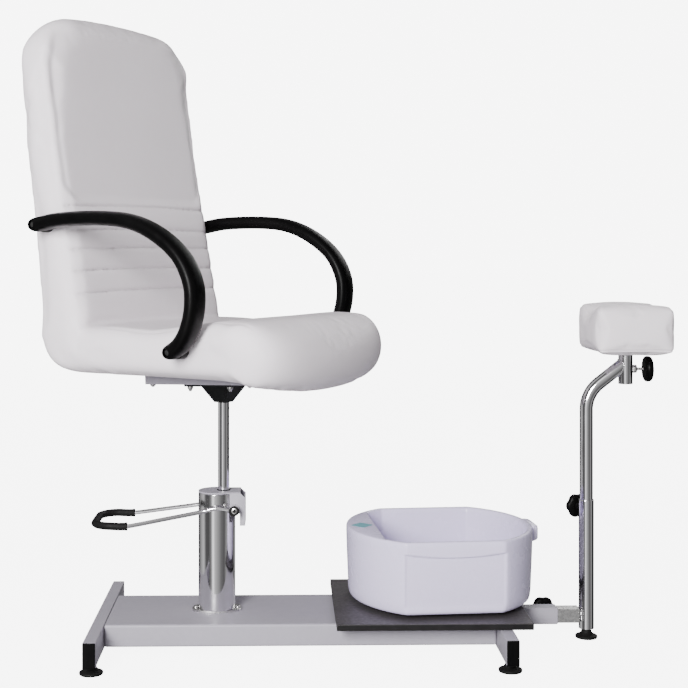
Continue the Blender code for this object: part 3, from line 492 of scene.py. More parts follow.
COVER_INSET = 0.001                         # the blocks start smaller, because the padding swells
BACK_TOP = 1.319
CROWN_X = -0.2985                           # middle of the back's thickness at its top
BACK_FRONT = ((0.640, -0.172), (0.720, -0.186), (0.904, -0.2195), (1.048, -0.245), (1.157, -0.2575),
              (1.220, -0.260))              # its front face, as (height, forward) places
PANEL_LINES = (0.911, 0.862, 0.823, 0.779, 0.7336)


def seat_side():
    low = 0.5772
    left = -0.290 + COVER_INSET
    heel = arc((left + 0.066, low + 0.066), 0.066, 180, 270, 8)
    roll = arc((0.212, 0.616), 0.068 - COVER_INSET, -62, 78, 14)
    top = [(0.150, 0.6815), (0.070, 0.6720), (-0.020, 0.6655), (-0.150, 0.6630), (left, 0.6630)]
    return even_spacing(heel + [(0.150, low), (0.195, low - 0.003)] + roll + top, 0.008)


def back_side():
    left = COVER_INSET
    rear = [(-0.290 + left, 0.640), (-0.290 + left, 0.70), (-0.3055 + left, 0.860), (-0.331 + left, 1.040),
            (-0.340 + left, 1.146), (-0.3415 + left, 1.240)]
    crown = arc((CROWN_X, 1.279 - COVER_INSET), 0.040, 165, 5, 10)
    front = [(x, z) for z, x in reversed(BACK_FRONT)]
    return even_spacing(rear + crown + front, 0.008)


def seat_front_edge(y):
    """How far forward the seat reaches at one place across it: a tight near corner, then a long bow."""
    side = min(abs(y), HALF_WIDTH) / HALF_WIDTH
    return 0.288 - 0.016 * side ** 2 - 0.032 * side ** 6 - 0.042 * side ** 16


def seat_point(x, y, z):
    start = 0.120
    side = min(abs(y) / HALF_WIDTH, 1.0)
    under = smooth_step(x, 0.165, 0.235) * (1.0 - smooth_step(z, 0.575, 0.640))
    z += under * (0.027 * side ** 2 - 0.016)
    if z > 0.640:
        z -= 0.006 * groove(x + 0.020, 0.065)
    if x > start:
        x = start + (x - start) * (seat_front_edge(y) - start) / (0.2795 - start)
    return (x, y, z)


def back_point(x, y, z):
    """The back's top falls away at its corners, where its front face also leans back a little."""
    start = 1.180
    corner = 0.100
    over = max(0.0, abs(y) - (HALF_WIDTH - corner))
    crest = BACK_TOP - 0.0035 * (y / 0.1) ** 2 * 0.9
    top = crest - (corner - math.sqrt(max(corner ** 2 - over ** 2, 0.0))) * 0.80
    if z > start:
        z = start + (z - start) * (top - COVER_INSET - start) / (BACK_TOP - COVER_INSET - start)
    near_rim = math.hypot(over, max(0.0, z - crest + corner)) / corner
    lean = 0.22 * smooth_step(near_rim, 0.40, 1.05) * smooth_step(over, 0.0, 0.06)
    lean *= smooth_step(z, 1.08, 1.24)
    x -= max(0.0, x - CROWN_X) * lean
    return (x, y, z)


def swell(obj, pressure, cap, voxel, softness):
    """Remesh a closed form, blow it up as cloth, cap how far each point moves, and smooth it once."""
    remesh = obj.modifiers.new("Remesh", "REMESH")
    remesh.mode = "VOXEL"
    remesh.voxel_size = voxel
    apply_modifiers(obj)
    soften = obj.modifiers.new("Soften", "SMOOTH")
    soften.factor = 0.5
    soften.iterations = softness
    apply_modifiers(obj)
    rest = [v.co.copy() for v in obj.data.vertices]
    cloth = obj.modifiers.new("Cloth", "CLOTH")
    cloth.settings.quality = 4
    cloth.settings.tension_stiffness = 12
    cloth.settings.compression_stiffness = 12
    cloth.settings.bending_stiffness = 1.5
    cloth.settings.use_pressure = True
    cloth.settings.uniform_pressure_force = pressure
    cloth.settings.effector_weights.gravity = 0.0
    cloth.collision_settings.use_collision = False
    scene = bpy.context.scene
    for step in range(1, 21):
        scene.frame_set(step)
    apply_modifiers(obj)
    scene.frame_set(1)
    for vert, start in zip(obj.data.vertices, rest):
        move = vert.co - start
        if move.length > 1e-9:
            vert.co = start + move * (cap * math.tanh(move.length / cap) / move.length)
    settle = obj.modifiers.new("Settle", "SMOOTH")
    settle.factor = 0.5
    settle.iterations = softness
    apply_modifiers(obj)


def subdivide(obj, levels=1):
    modifier = obj.modifiers.new("Subdivision", "SUBSURF")
    modifier.levels = levels
    modifier.render_levels = levels
    apply_modifiers(obj)


def back_front_at(z):
    """How far forward the back's front face stands at one height."""
    knots = BACK_FRONT + ((1.330, -0.262),)
    for (low, first), (high, second) in zip(knots, knots[1:]):
        if z <= high:
            return first + (second - first) * (z - low) / (high - low)
    return knots[-1][1]


def groove(distance, width):
    return math.exp(-(distance / width) ** 2)


def outside_panel(y, z):
    """Distance from the outline of the sunk upper panel, negative inside it."""
    half_width = 0.237
    low = 0.922
    high = 1.290
    corner = 0.040
    dx = abs(y) - (half_width - corner)
    dz = abs(z - (low + high) / 2) - ((high - low) / 2 - corner)
    return math.hypot(max(dx, 0.0), max(dz, 0.0)) + min(max(dx, dz), 0.0) - corner


def sculpt_cover(obj):
    """Sewn channels, the sunk upper panel, the seat's two long seams and a slight unevenness."""
    to_chair = CHAIR.inverted()
    turn = to_chair.to_3x3()
    reach = 0.0017
    for vert, normal in zip(obj.data.vertices, [v.normal.copy() for v in obj.data.vertices]):
        here = to_chair @ vert.co
        facing = turn @ normal
        near_front = smooth_step(0.050 - abs(here.x - back_front_at(here.z)), 0.0, 0.02)
        on_front = smooth_step(facing.x, 0.30, 0.70) * near_front
        on_face = smooth_step(facing.x, 0.0, 0.25) * near_front
        move = Vector((0.0, 0.0, 0.0))
        if on_face > 0.0 and here.z > 0.672:
            outside = outside_panel(here.y, here.z)
            border = 0.013 + 0.016 * smooth_step(here.z, 1.20, 1.28)
            sunk = 1.0 - smooth_step(outside, -border, 0.006)
            move.x -= 0.0060 * sunk * on_face
            for line in PANEL_LINES:
                gap = here.z - line - 0.0025 * math.cos(here.y * 8.0)
                fade = 1.0 - smooth_step(abs(here.y), 0.226, 0.247)
                if abs(gap) < reach:
                    move.z -= gap * on_front * fade
                move.x -= (0.0034 * (abs(gap) < reach) + 0.0020 * groove(gap, 0.006)) * on_front * fade
            if here.z < 0.905:
                nearest = min(abs(here.z - line) for line in PANEL_LINES + (0.672,))
                move.x += 0.0014 * smooth_step(nearest, 0.0, 0.018) * on_front
        on_top = smooth_step(facing.z, 0.5, 0.9)
        if here.z < 0.71 and here.x > -0.15:
            move.z -= 0.0016 * groove(abs(here.y) - 0.228, 0.003) * smooth_step(here.x, -0.15, -0.10) * on_top
        move += facing * 0.0012 * noise.noise(here * 6.0)
        vert.co = CHAIR @ (here + move)


def build_cover():
    """Seat and back are padded in one continuous vinyl cover."""
    seat_verts, seat_faces = cushion_block(seat_side(), HALF_WIDTH - COVER_INSET, 0.026, seat_point)
    back_verts, back_faces = cushion_block(back_side(), HALF_WIDTH - COVER_INSET, 0.015, back_point)
    offset = len(seat_verts)
    faces = seat_faces + [[i + offset for i in face] for face in back_faces]
    cover = make_mesh("chair_cover", seat_verts + back_verts, faces, CHAIR)
    swell(cover, 2.2, 0.006, 0.006, 5)
    subdivide(cover)
    sculpt_cover(cover)
    cover.data.shade_smooth()
    dress(cover, "chair", "seat_cushion", "back_cushion")


def build_leg_cushion():
    """The calf pad: a boxed cushion with a shallow valley and a seam round each side."""
    half_x = 0.079
    half_y = 0.095
    low = 0.6072
    outline = [(half_y, low, 0.006), (half_y, 0.6985, 0.012), (0.071, 0.7045, 0.010), (0.046, 0.7000, 0.02),
               (0.022, 0.6905, 0.02), (0.0, 0.6870, 0.02)]
    mirrored = [(-y, z, r) for y, z, r in reversed(outline[:-1])]
    side = even_spacing(rounded(outline + mirrored, closed=True), 0.005)
    normals = outline_normals(side)
    rings = []
    edge = 0.009
    for i in range(25):
        x = -half_x * math.cos(math.pi * i / 24)
        over = max(0.0, abs(x) - (half_x - edge))
        inset = edge - math.sqrt(max(edge ** 2 - over ** 2, 0.0))
        crown = 0.0030 * (1.0 - (x / half_x) ** 2)
        rings.append([(SOCKET_X + x, LEGREST_Y + y - n.x * inset, z - n.y * inset + crown * (z > 0.66))
                      for (y, z), n in zip(side, normals)])
    verts, faces = joined_rings(rings)
    pad = make_mesh("leg_pad_cover", verts, faces, BASE)
    swell(pad, 3.0, 0.0045, 0.003, 3)
    subdivide(pad)
    to_base = BASE.inverted()
    for vert, normal in zip(pad.data.vertices, [v.normal.copy() for v in pad.data.vertices]):
        here = to_base @ vert.co - Vector((SOCKET_X, LEGREST_Y, 0.0))
        seam = groove(abs(here.x) - 0.0755, 0.0018) * smooth_step(normal.z, 0.2, 0.6)
        seam += groove(here.z - 0.6135, 0.0018) * (1.0 - smooth_step(abs(normal.z), 0.4, 0.8))
        vert.co -= normal * 0.0013 * seam
        vert.co += normal * 0.0012 * noise.noise(here * 22.0)
    pad.data.shade_smooth()
    dress(pad, "pad", "leg_cushion")


# ---------------------------------------------------------------- arms

def arm_ring(point, across, up, width=1.0, depth=1.0):
    """One flattened round section of an arm."""
    ring = []
    for u, v in circle(1.0, 40):
        u = 0.0252 * math.copysign(abs(u) ** 0.72, u) * width
        v = 0.0145 * math.copysign(abs(v) ** 0.85, v) * depth
        ring.append(point + across * u + up * v)
    return ring


def arm_tip(frame_at_end, direction):
    """The rounded end of an arm, from its full section outwards."""
    point, across, up, ahead = frame_at_end
    tip = []
    for angle in (20, 40, 60, 78, 88):
        shrink = math.cos(math.radians(angle))
        reach = 0.0148 * math.sin(math.radians(angle)) * direction
        tip.append(arm_ring(point + ahead * reach, across, up, 0.35 + 0.65 * shrink, shrink))
    return tip


def build_arm(name, side):
    """A moulded loop arm: flattened round section, slightly waisted, with a round boss near each end."""
    rear = (-0.254, 0.872)
    front = (0.080, 0.630)
    knots = [rear, (-0.190, 0.8815), (-0.090, 0.8830), (-0.015, 0.8745), (0.048, 0.8490), (0.100, 0.8090),
             (0.127, 0.7600), (0.130, 0.7130), (0.119, 0.6720), (0.101, 0.6450), front]
    path = [Vector((p.x, side * ARM_OFFSET, p.y)) for p in curve_through(knots, 8)]
    frames = sweep_frames(path)
    rings = []
    for i, (point, across, up, _) in enumerate(frames):
        along = i / (len(frames) - 1)
        rings.append(arm_ring(point, across, up, depth=1.0 - 0.05 * math.exp(-((along - 0.5) / 0.05) ** 2)))
    rings = list(reversed(arm_tip(frames[0], -1))) + rings + arm_tip(frames[-1], 1)
    verts, faces = joined_rings(rings)
    arm = make_mesh(name + "_loop", verts, faces, CHAIR, crease=40.0)
    for place in (rear, front):
        carve_screw_sink(arm, Vector((place[0], side * ARM_OFFSET, place[1])), side)
        build_arm_boss(name, side, place)
    dress(arm, "chair", name)


def carve_screw_sink(arm, place, side):
    """A round sink for the screw head, in the arm's outer face."""
    outward = Matrix.Rotation(math.radians(-90 * side), 4, "X")
    carve(arm, turned("sink", plug(0.0078, 0.0115, 0.06), CHAIR, place, outward, 32))


def plug(radius, low, high):
    """The profile of a plain round cutter."""
    return [(0.0, low), (radius, low), (radius, high), (0.0, high)]


def carve(obj, cutter):
    """Cut one shape out of another, and drop the cutter."""
    modifier = obj.modifiers.new("Cut", "BOOLEAN")
    modifier.operation = "DIFFERENCE"
    modifier.solver = "EXACT"
    modifier.object = cutter
    apply_modifiers(obj)
    bpy.data.objects.remove(cutter, do_unlink=True)
    obj.data.set_sharp_from_angle(angle=math.radians(40))


def build_arm_boss(name, side, place):
    """The round pad between the arm and the cushion."""
    end = "rear" if place[0] < 0 else "front"
    reach = ARM_OFFSET - HALF_WIDTH - 0.0006
    inward = Matrix.Rotation(math.radians(90 * side), 4, "X")
    profile = [(0.0032, 0.012), (0.0150, 0.012), (0.0155, 0.020), (0.0160, reach), (0.0032, reach)]
    at = (place[0], side * ARM_OFFSET, place[1])
    dress(turned(f"{name}_{end}_boss", profile, CHAIR, at, inward, 48, 0.001), "chair", slot="black_plastic")


# ---------------------------------------------------------------- steel base

def build_base():
    """The flat-sided metal and wood parts, with finely rounded edges."""
    for node, edge in (("base_beam", 0.0016), ("crossbar_rear", 0.0007), ("crossbar_front", 0.0007),
                       ("bath_shelf", 0.0006), ("legrest_sleeve", 0.0007), ("seat_frame", 0.0006),
                       ("cone_mount", 0.0010), ("pump_cap", 0.0007), ("back_bracket", 0.0006),
                       ("slide_tube", 0.0007)):
        body = frame["nodes"][node]["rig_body"]
        dress(refined(node, edge), body, node)
    band_shelf_edges(bpy.data.objects["bath_shelf_shape"])
    for node in ("end_cap_rear_near", "end_cap_rear_far", "end_cap_front_near", "end_cap_front_far"):
        dress(refined(node, 0.0012, 4), "base", node)


def band_shelf_edges(shelf):
    """The board's cut edges wear a black edge band."""
    shelf.data.materials.append(MATERIALS["edge_band"])
    for face in shelf.data.polygons:
        face.material_index = 1 if abs(face.normal.z) < 0.6 else 0


def build_level_foot(node):
    """A screw-in foot: a pad with a domed top, its neck and a threaded stud."""
    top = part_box(node)[1].z
    profile = [(0.0, 0.0), (0.0225, 0.0, 0.001), (0.0234, 0.0030, 0.001), (0.0232, 0.0055, 0.0015),
               (0.0165, 0.0082, 0.004), (0.0115, 0.0120, 0.003), (0.0100, 0.0175, 0.001),
               (0.0092, 0.0192, 0.0006), (0.0040, 0.0195, 0.0003)]
    z = 0.0203
    while z < top - 0.001:
        profile += [(0.0039, z), (0.0034, z + 0.0004)]
        z += 0.0009
    profile += [(0.0034, top), (0.0, top)]
    foot = turned(node + "_shape", profile, Matrix.Translation(on_floor(middle(node))), sides=72)
    dress(foot, frame["nodes"][node]["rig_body"], node)


# ---------------------------------------------------------------- foot pump

def build_pump():
    """Flange with two bolts, chrome housing, piston rod and the rod's wiper."""
    flange = rounded([(0.051, 0.019), (0.019, 0.032), (-0.019, 0.032), (-0.051, 0.019), (-0.051, -0.019),
                      (-0.019, -0.032), (0.019, -0.032), (0.051, -0.019)], 0.016, 8, closed=True)
    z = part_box("pump_flange")[0].z
    layers = ((1.0, 0.0), (1.0, 0.0033), (0.985, 0.0040))
    rings = [[(u * size, v * size, z + height) for u, v in flange] for size, height in layers]
    verts, faces = joined_rings(rings)
    dress(make_mesh("pump_flange_shape", verts, faces, BASE), "base", "pump_flange")
    head = [(0.0, 0.0), (0.0052, 0.0), (0.0052, 0.0020, 0.001), (0.0030, 0.0034, 0.001), (0.0, 0.0034)]
    for name, x in (("near", -0.0435), ("far", 0.0435)):
        bolt = turned(f"flange_bolt_{name}", head, BASE, (x, 0.0, z + 0.0041), sides=32)
        dress(bolt, "base", slot="bright_steel")

    low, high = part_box("pump_housing")
    radius = 0.0385
    bore = 0.0350
    profile = [(0.0, low.z + 0.004), (bore, low.z + 0.004), (bore, low.z), (radius - 0.0006, low.z, 0.0006),
               (radius, low.z + 0.0020), (radius, high.z - 0.0010, 0.0006), (radius - 0.0008, high.z, 0.0004),
               (bore, high.z, 0.0003), (bore, low.z + 0.0046), (0.0, low.z + 0.0046)]
    housing = turned("pump_housing_shape", profile, BASE, sides=128)
    window = make_mesh("window", *box_shape((0.027, -0.0215, 0.273), (0.045, 0.0215, 0.297)), BASE)
    carve(housing, window)
    dress(housing, "base", "pump_housing")

    low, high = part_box("piston_rod")
    profile = [(0.0, low.z), (0.012, low.z, 0.0005), (0.012, high.z, 0.0005), (0.0, high.z)]
    rod = turned("piston_rod_shape", profile, Matrix.Translation(ROD), sides=64)
    dress(rod, "chair", "piston_rod")
    wiper = [(0.0124, 0.3192), (0.0142, 0.3192, 0.0004), (0.0139, 0.3204, 0.0006), (0.0124, 0.3208, 0.0003)]
    dress(turned("rod_wiper", wiper, Matrix.Translation(ROD), sides=64), "base", slot="black_rubber")


def box_shape(low, high):
    verts = [(x, y, z) for x in (low[0], high[0]) for y in (low[1], high[1]) for z in (low[2], high[2])]
    faces = [(0, 1, 3, 2), (4, 6, 7, 5), (0, 4, 5, 1), (2, 3, 7, 6), (0, 2, 6, 4), (1, 5, 7, 3)]
    return verts, faces


def lever_route():
    """The U of the lever's wire, from the near eye round its end to the far eye."""
    half = 0.046
    wide = 0.0715
    tip = -0.249
    corner = 0.040
    near = [(0.026, -half, 0.2860), (0.012, -half, 0.2885), (0.000, -half, 0.2888), (-0.015, -half, 0.2860),
            (-0.034, -half, 0.2810), (-0.108, -0.0590, 0.2692), (-0.170, -0.0698, 0.2593),
            (-0.190, -wide, 0.2578), (-0.206, -wide, 0.2584)]
    near += [(x, y, 0.2588) for x, y in arc((tip + corner, -wide + corner), corner, 258, 180, 5)]
    far = [(x, -y, z) for x, y, z in reversed(near)]
    return curve_through(near + far, 5)


def build_lever():
    """The lever's wire and rubber grip, its eyes, the axle and finger, and at each axle end a black washer ring
    and a black disc that paint the shade round the head and in its hex socket.
    """
    route = lever_route()
    sideways = Matrix.Rotation(math.radians(90), 4, "X")
    dress(swept("lever_wire", route, circle(0.0044, 24), BASE), "lever", "pump_lever")
    grip = [p for p in route if p.x < -0.179]
    sleeve = swept("lever_grip_shape", grip, circle(0.0079, 32), BASE, circle(0.0046, 32))
    dress(sleeve, "lever", "lever_grip")
    lip = [(0.0046, -0.0026), (0.0080, -0.0026, 0.0008), (0.0088, 0.0, 0.0012), (0.0080, 0.0026, 0.0008),
           (0.0046, 0.0026)]
    ends = (("near", -1, grip[0], grip[1] - grip[0]), ("far", 1, grip[-1], grip[-1] - grip[-2]))
    for side, sign, point, ahead in ends:
        turn = ahead.to_track_quat("Z", "Y").to_matrix().to_4x4()
        dress(turned(f"grip_collar_{side}", lip, BASE, point, turn, 40), "lever", slot="black_rubber")
        eye = [(0.0043, -0.011), (0.0085, -0.011, 0.0006), (0.0095, -0.0095, 0.0006),
               (0.0095, 0.0095, 0.0006), (0.0085, 0.011, 0.0006), (0.0043, 0.011)]
        place = PIVOT + Vector((0.0, sign * 0.043, 0.0))
        dress(turned(f"lever_eye_{side}", eye, BASE, place, sideways, 48), "lever", slot="bright_steel")
        # A black washer ring behind each axle head, wider than the eye, whose dark rim is painted shade: the
        # shadow round the head.
        shade_ring = [(0.0064, -0.0004), (0.0104, -0.0004, 0.0003), (0.0104, 0.0006, 0.0003), (0.0064, 0.0006)]
        face = PIVOT + Vector((0.0, sign * 0.0550, 0.0))
        dress(turned(f"axle_shade_ring_{side}", shade_ring, BASE, face, sideways, 48), "lever", slot="black_rubber")
        # A flat black disc on each axle head: painted shade for the dark hollow of its hex socket.
        socket = [(0.0, -0.0003), (0.0034, -0.0003), (0.0034, 0.0003), (0.0, 0.0003)]
        tip = PIVOT + Vector((0.0, sign * 0.0567, 0.0))
        dress(turned(f"axle_socket_shade_disc_{side}", socket, BASE, tip, sideways, 32), "lever", slot="black_rubber")
    head = 0.0565
    far_half = [(0.0040, 0.0544), (0.0062, 0.0546, 0.0003), (0.0062, head - 0.0008, 0.0006),
                (0.0040, head, 0.0004), (0.0, head)]
    profile = [(radius, -z, *soft) for radius, z, *soft in reversed(far_half)] + far_half
    dress(turned("lever_axle_shape", profile, BASE, PIVOT, sideways, 40), "lever", "lever_axle")
    finger = make_mesh("axle_finger", *box_shape((0.031, -0.0035, 0.2805), (0.0345, 0.0035, 0.2895)), BASE)
    dress(finger, "lever", slot="bright_steel")


# ---------------------------------------------------------------- leg rest

def lobed_knob(node, place, at, turn, screw_tip, start):
    """A six-lobed moulded knob on its steel screw."""
    spin = Matrix.Translation(at) @ turn
    rows = [(0.0095, start, 0.0), (0.0112, start + 0.0008, 0.0), (0.0124, start + 0.0055, 0.0),
            (0.0200, start + 0.0066, 0.02), (0.0235, start + 0.0082, 0.045), (0.0247, start + 0.0110, 0.05),
            (0.0251, start + 0.0145, 0.052), (0.0247, start + 0.0180, 0.05), (0.0232, start + 0.0203, 0.045),
            (0.0190, start + 0.0216, 0.025), (0.0100, start + 0.0219, 0.0), (0.0060, start + 0.0212, 0.0)]
    rings = [[spin @ Vector((0.0, 0.0, start))]]
    sides = 96
    for radius, z, depth in rows:
        ring = []
        for k in range(sides):
            t = 2 * math.pi * k / sides
            lobes = 1 + depth * (math.cos(6 * t) - 0.25 * math.cos(12 * t))
            ring.append(spin @ Vector((radius * lobes * math.cos(t), radius * lobes * math.sin(t), z)))
        rings.append(ring)
    rings.append([spin @ Vector((0.0, 0.0, start + 0.0208))])
    verts, faces = joined_rings(rings)
    body = frame["nodes"][node]["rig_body"]
    dress(make_mesh(node + "_grip", verts, faces, place, crease=50.0), body, node)
    screw = threaded(node + "_screw", 0.0039, screw_tip, start + 0.001, place, at, turn)
    dress(screw, body, slot="bright_steel")


def threaded(name, radius, low, high, place, at, turn):
    """A screw with a 1 mm thread."""
    profile = [(0.0, low), (radius * 0.8, low, 0.0003)]
    z = low + 0.0006
    while z < high - 0.001:
        profile += [(radius * 0.86, z), (radius, z + 0.0005)]
        z += 0.0010
    return turned(name, profile + [(radius * 0.86, high), (0.0, high)], place, at, turn, 32)


def build_socket_nut(at, turn):
    """The hexagon nut with chamfered corners that the round knob's screw runs through."""
    spin = Matrix.Translation(at) @ turn
    across = 0.0086
    low = 0.0142
    high = 0.0235
    chamfer = 0.0008
    rings = []
    for radius, z in ((across * 0.93, low), (across, low + chamfer), (across, high - chamfer),
                      (across * 0.93, high)):
        rings.append([spin @ Vector((u, v, z)) for u, v in circle(radius, 6)])
    verts, faces = joined_rings(rings)
    obj = make_mesh("socket_nut", verts, faces, BASE)
    carve(obj, turned("bore", plug(0.0033, low - 0.01, high + 0.01), BASE, at, turn, 32))
    dress(obj, "leg_tube", slot="bright_steel")


def build_slide_weld():
    """Two lumpy beads where the slide tube ends against the round post."""
    for name, side in (("near", -1), ("far", 1)):
        foot = Vector((POST_X - 0.0128, LEGREST_Y + side * 0.0118, 0.0362))
        path = [foot + Vector((0.0, 0.0, 0.0268 * i / 28)) for i in range(29)]
        rings = []
        for i, point in enumerate(path):
            size = 0.0034 * (1 + 0.22 * math.sin(i * 1.35)) * math.sin(math.pi * (i + 0.6) / 29.2) ** 0.3
            rings.append([point + Vector((u, v, 0.0)) for u, v in circle(size, 14)])
        verts, faces = joined_rings(rings)
        dress(make_mesh(f"slide_weld_{name}", verts, faces, BASE, 60.0), "extension", slot="chrome")


def build_leg_rest():
    """Sleeve knob, post with its boss and knob, bent tube, pad socket with its clamp, and the pad's stem."""
    away = Matrix.Rotation(math.radians(-90), 4, "X")
    sleeve_at = (0.697, LEGREST_Y, 0.0496)
    lobed_knob("sleeve_knob", BASE, sleeve_at, away, 0.0156, 0.0293)

    low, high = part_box("post_tube")
    post_at = Vector((POST_X, LEGREST_Y, 0.0))
    radius = 0.016
    bore = 0.0145
    profile = [(0.0046, low.z), (radius, low.z, 0.0010), (radius, high.z - 0.0015, 0.0010),
               (radius - 0.0006, high.z, 0.0004), (bore, high.z, 0.0003), (bore, low.z + 0.006),
               (0.0046, low.z + 0.006)]
    post = turned("post_tube_shape", profile, BASE, post_at, sides=96)
    aside = Matrix.Rotation(math.radians(14), 4, "Z") @ away
    knob_at = (POST_X, LEGREST_Y, 0.272)
    carve(post, turned("bore", plug(0.0044, 0.008, 0.04), BASE, knob_at, aside, 32))
    dress(post, "extension", "post_tube")
    boss = [(0.0044, 0.0152), (0.0085, 0.0152), (0.0085, 0.0210, 0.0008), (0.0078, 0.0215, 0.0004),
            (0.0044, 0.0215)]
    dress(turned("post_boss", boss, BASE, knob_at, aside, 48), "extension", slot="chrome")
    lobed_knob("post_knob", BASE, knob_at, aside, 0.0144, 0.0260)
    build_slide_weld()

    route = bent_tube_route()
    tube = swept("bent_tube_shape", route, circle(0.014, 72), BASE)
    socket_at = (SOCKET_X, LEGREST_Y, 0.0)
    carve(tube, turned("socket_outside", plug(0.0152, 0.5, 0.64), BASE, socket_at, sides=72))
    dress(tube, "leg_tube", "bent_tube")

    low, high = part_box("pad_socket")
    inner = 0.0109
    outer = 0.015
    profile = [(inner, low.z, 0.0003), (outer, low.z, 0.0008), (outer, high.z, 0.0008),
               (inner, high.z, 0.0003)]
    socket = turned("pad_socket_shape", rounded(profile, closed=True), BASE, socket_at, sides=96)
    forward = Matrix.Rotation(math.radians(90), 4, "Y")
    pad_at = (SOCKET_X, LEGREST_Y, 0.5687)
    carve(socket, turned("bore", plug(0.0034, 0.006, 0.04), BASE, pad_at, forward, 32))
    dress(socket, "leg_tube", "pad_socket")
    build_socket_nut(pad_at, forward)
    build_round_knob(pad_at, forward)
    build_weld()

    stem = [(0.0, 0.542), (0.0105, 0.542, 0.0010), (0.0105, 0.6033, 0.0008), (0.0430, 0.6033, 0.0008),
            (0.0430, 0.6067, 0.0008), (0.0, 0.6067)]
    dress(turned("pad_stem_shape", stem, BASE, socket_at, sides=96), "pad", "pad_stem")


def bent_tube_route():
    """Up out of the post, round a bend and on towards the pad socket."""
    bend_low = 0.483
    radius = 0.070
    turn = 52
    bend = arc((POST_X + radius, bend_low), radius, 180, 180 - turn, 28)
    last_x, last_z = bend[-1]
    slope = math.radians(90 - turn)
    run = (SOCKET_X - 0.006 - last_x) / math.cos(slope)
    tip = (last_x + run * math.cos(slope), last_z + run * math.sin(slope))
    return [(x, LEGREST_Y, z) for x, z in [(POST_X, 0.225), (POST_X, 0.35)] + bend + [tip]]


def build_round_knob(at, turn):
    """The smooth round clamp knob on its thin screw."""
    knob = [(0.0, 0.0390), (0.0170, 0.0390, 0.0015), (0.0250, 0.0405, 0.003), (0.0274, 0.0440, 0.003),
            (0.0274, 0.0495, 0.003), (0.0255, 0.0540, 0.003), (0.0190, 0.0560, 0.002),
            (0.0080, 0.0552, 0.001), (0.0, 0.0552)]
    dress(turned("pad_knob_grip", knob, BASE, at, turn, 96), "pad_clamp", "pad_knob")
    screw = threaded("pad_knob_screw", 0.0030, 0.0109, 0.0393, BASE, at, turn)
    dress(screw, "pad_clamp", slot="bright_steel")


def build_weld():
    """The weld bead where the bent tube meets its socket: a lumpy ring that follows the joint."""
    tip = Vector(bent_tube_route()[-1])
    back = (Vector(bent_tube_route()[-2]) - tip).normalized()
    side = Vector((0.0, 1.0, 0.0))
    up = back.cross(side)
    path = []
    steps = 96
    for i in range(steps):
        t = 2 * math.pi * i / steps
        rim = side * math.cos(t) * 0.0137 + up * math.sin(t) * 0.0137
        across = min(abs(rim.y), 0.0149)
        wall_x = SOCKET_X - math.sqrt(0.0152 ** 2 - across ** 2)
        start = tip + rim
        travel = (wall_x - start.x) / back.x
        path.append(start + back * travel)
    rings = []
    for i, point in enumerate(path):
        ahead = (path[(i + 1) % steps] - path[i - 1]).normalized()
        across = (ahead.cross(Vector((1.0, 0.0, 0.0)))).normalized()
        out = ahead.cross(across)
        size = 0.0016 * (1 + 0.12 * math.sin(i * 1.9))
        rings.append([point + across * u + out * v for u, v in circle(size, 10)])
    verts, faces = joined_rings(rings, closed=True)
    dress(make_mesh("socket_weld", verts, faces, BASE, 60.0), "leg_tube", slot="chrome")


# ---------------------------------------------------------------- foot bath

BATH_HALF_LENGTH = 0.1965
BATH_HALF_DEPTH = 0.212                     # of the ellipse, before its front and rear are cut flat
BATH_FLAT = 0.182
BATH_TOP = 0.238


def bath_outline(inset, z, left_edge=None):
    """An ellipse with flat front and rear; the left end may stop short at a straight edge."""
    flat = BATH_FLAT - inset
    length = BATH_HALF_LENGTH - inset
    depth = BATH_HALF_DEPTH - inset
    corner = math.degrees(math.asin(flat / depth))
    unit_arc = arc((0.0, 0.0), 1.0, -corner, corner, 48)
    right = [(length * u, depth * v) for u, v in unit_arc]
    left = [(-x, -y) for x, y in right]
    right_side, left_side = ([(*end[0], 0.010)] + [(x, y, 0.0) for x, y in end[1:-1]] + [(*end[-1], 0.010)]
                             for end in (right, left))
    half_flat = right[-1][0]
    top = [(half_flat * (1 - i / 8), flat, 0.0) for i in range(1, 16)]
    bottom = [(-x, -y, r) for x, y, r in top]
    ring = []
    for x, y in rounded(right_side + top + left_side + bottom, steps=4, closed=True):
        if left_edge is not None:
            over = left_edge - x
            soft = 0.004
            x += (over + math.sqrt(over * over + soft * soft)) / 2
        ring.append(Vector((x, y, z)))
    return ring


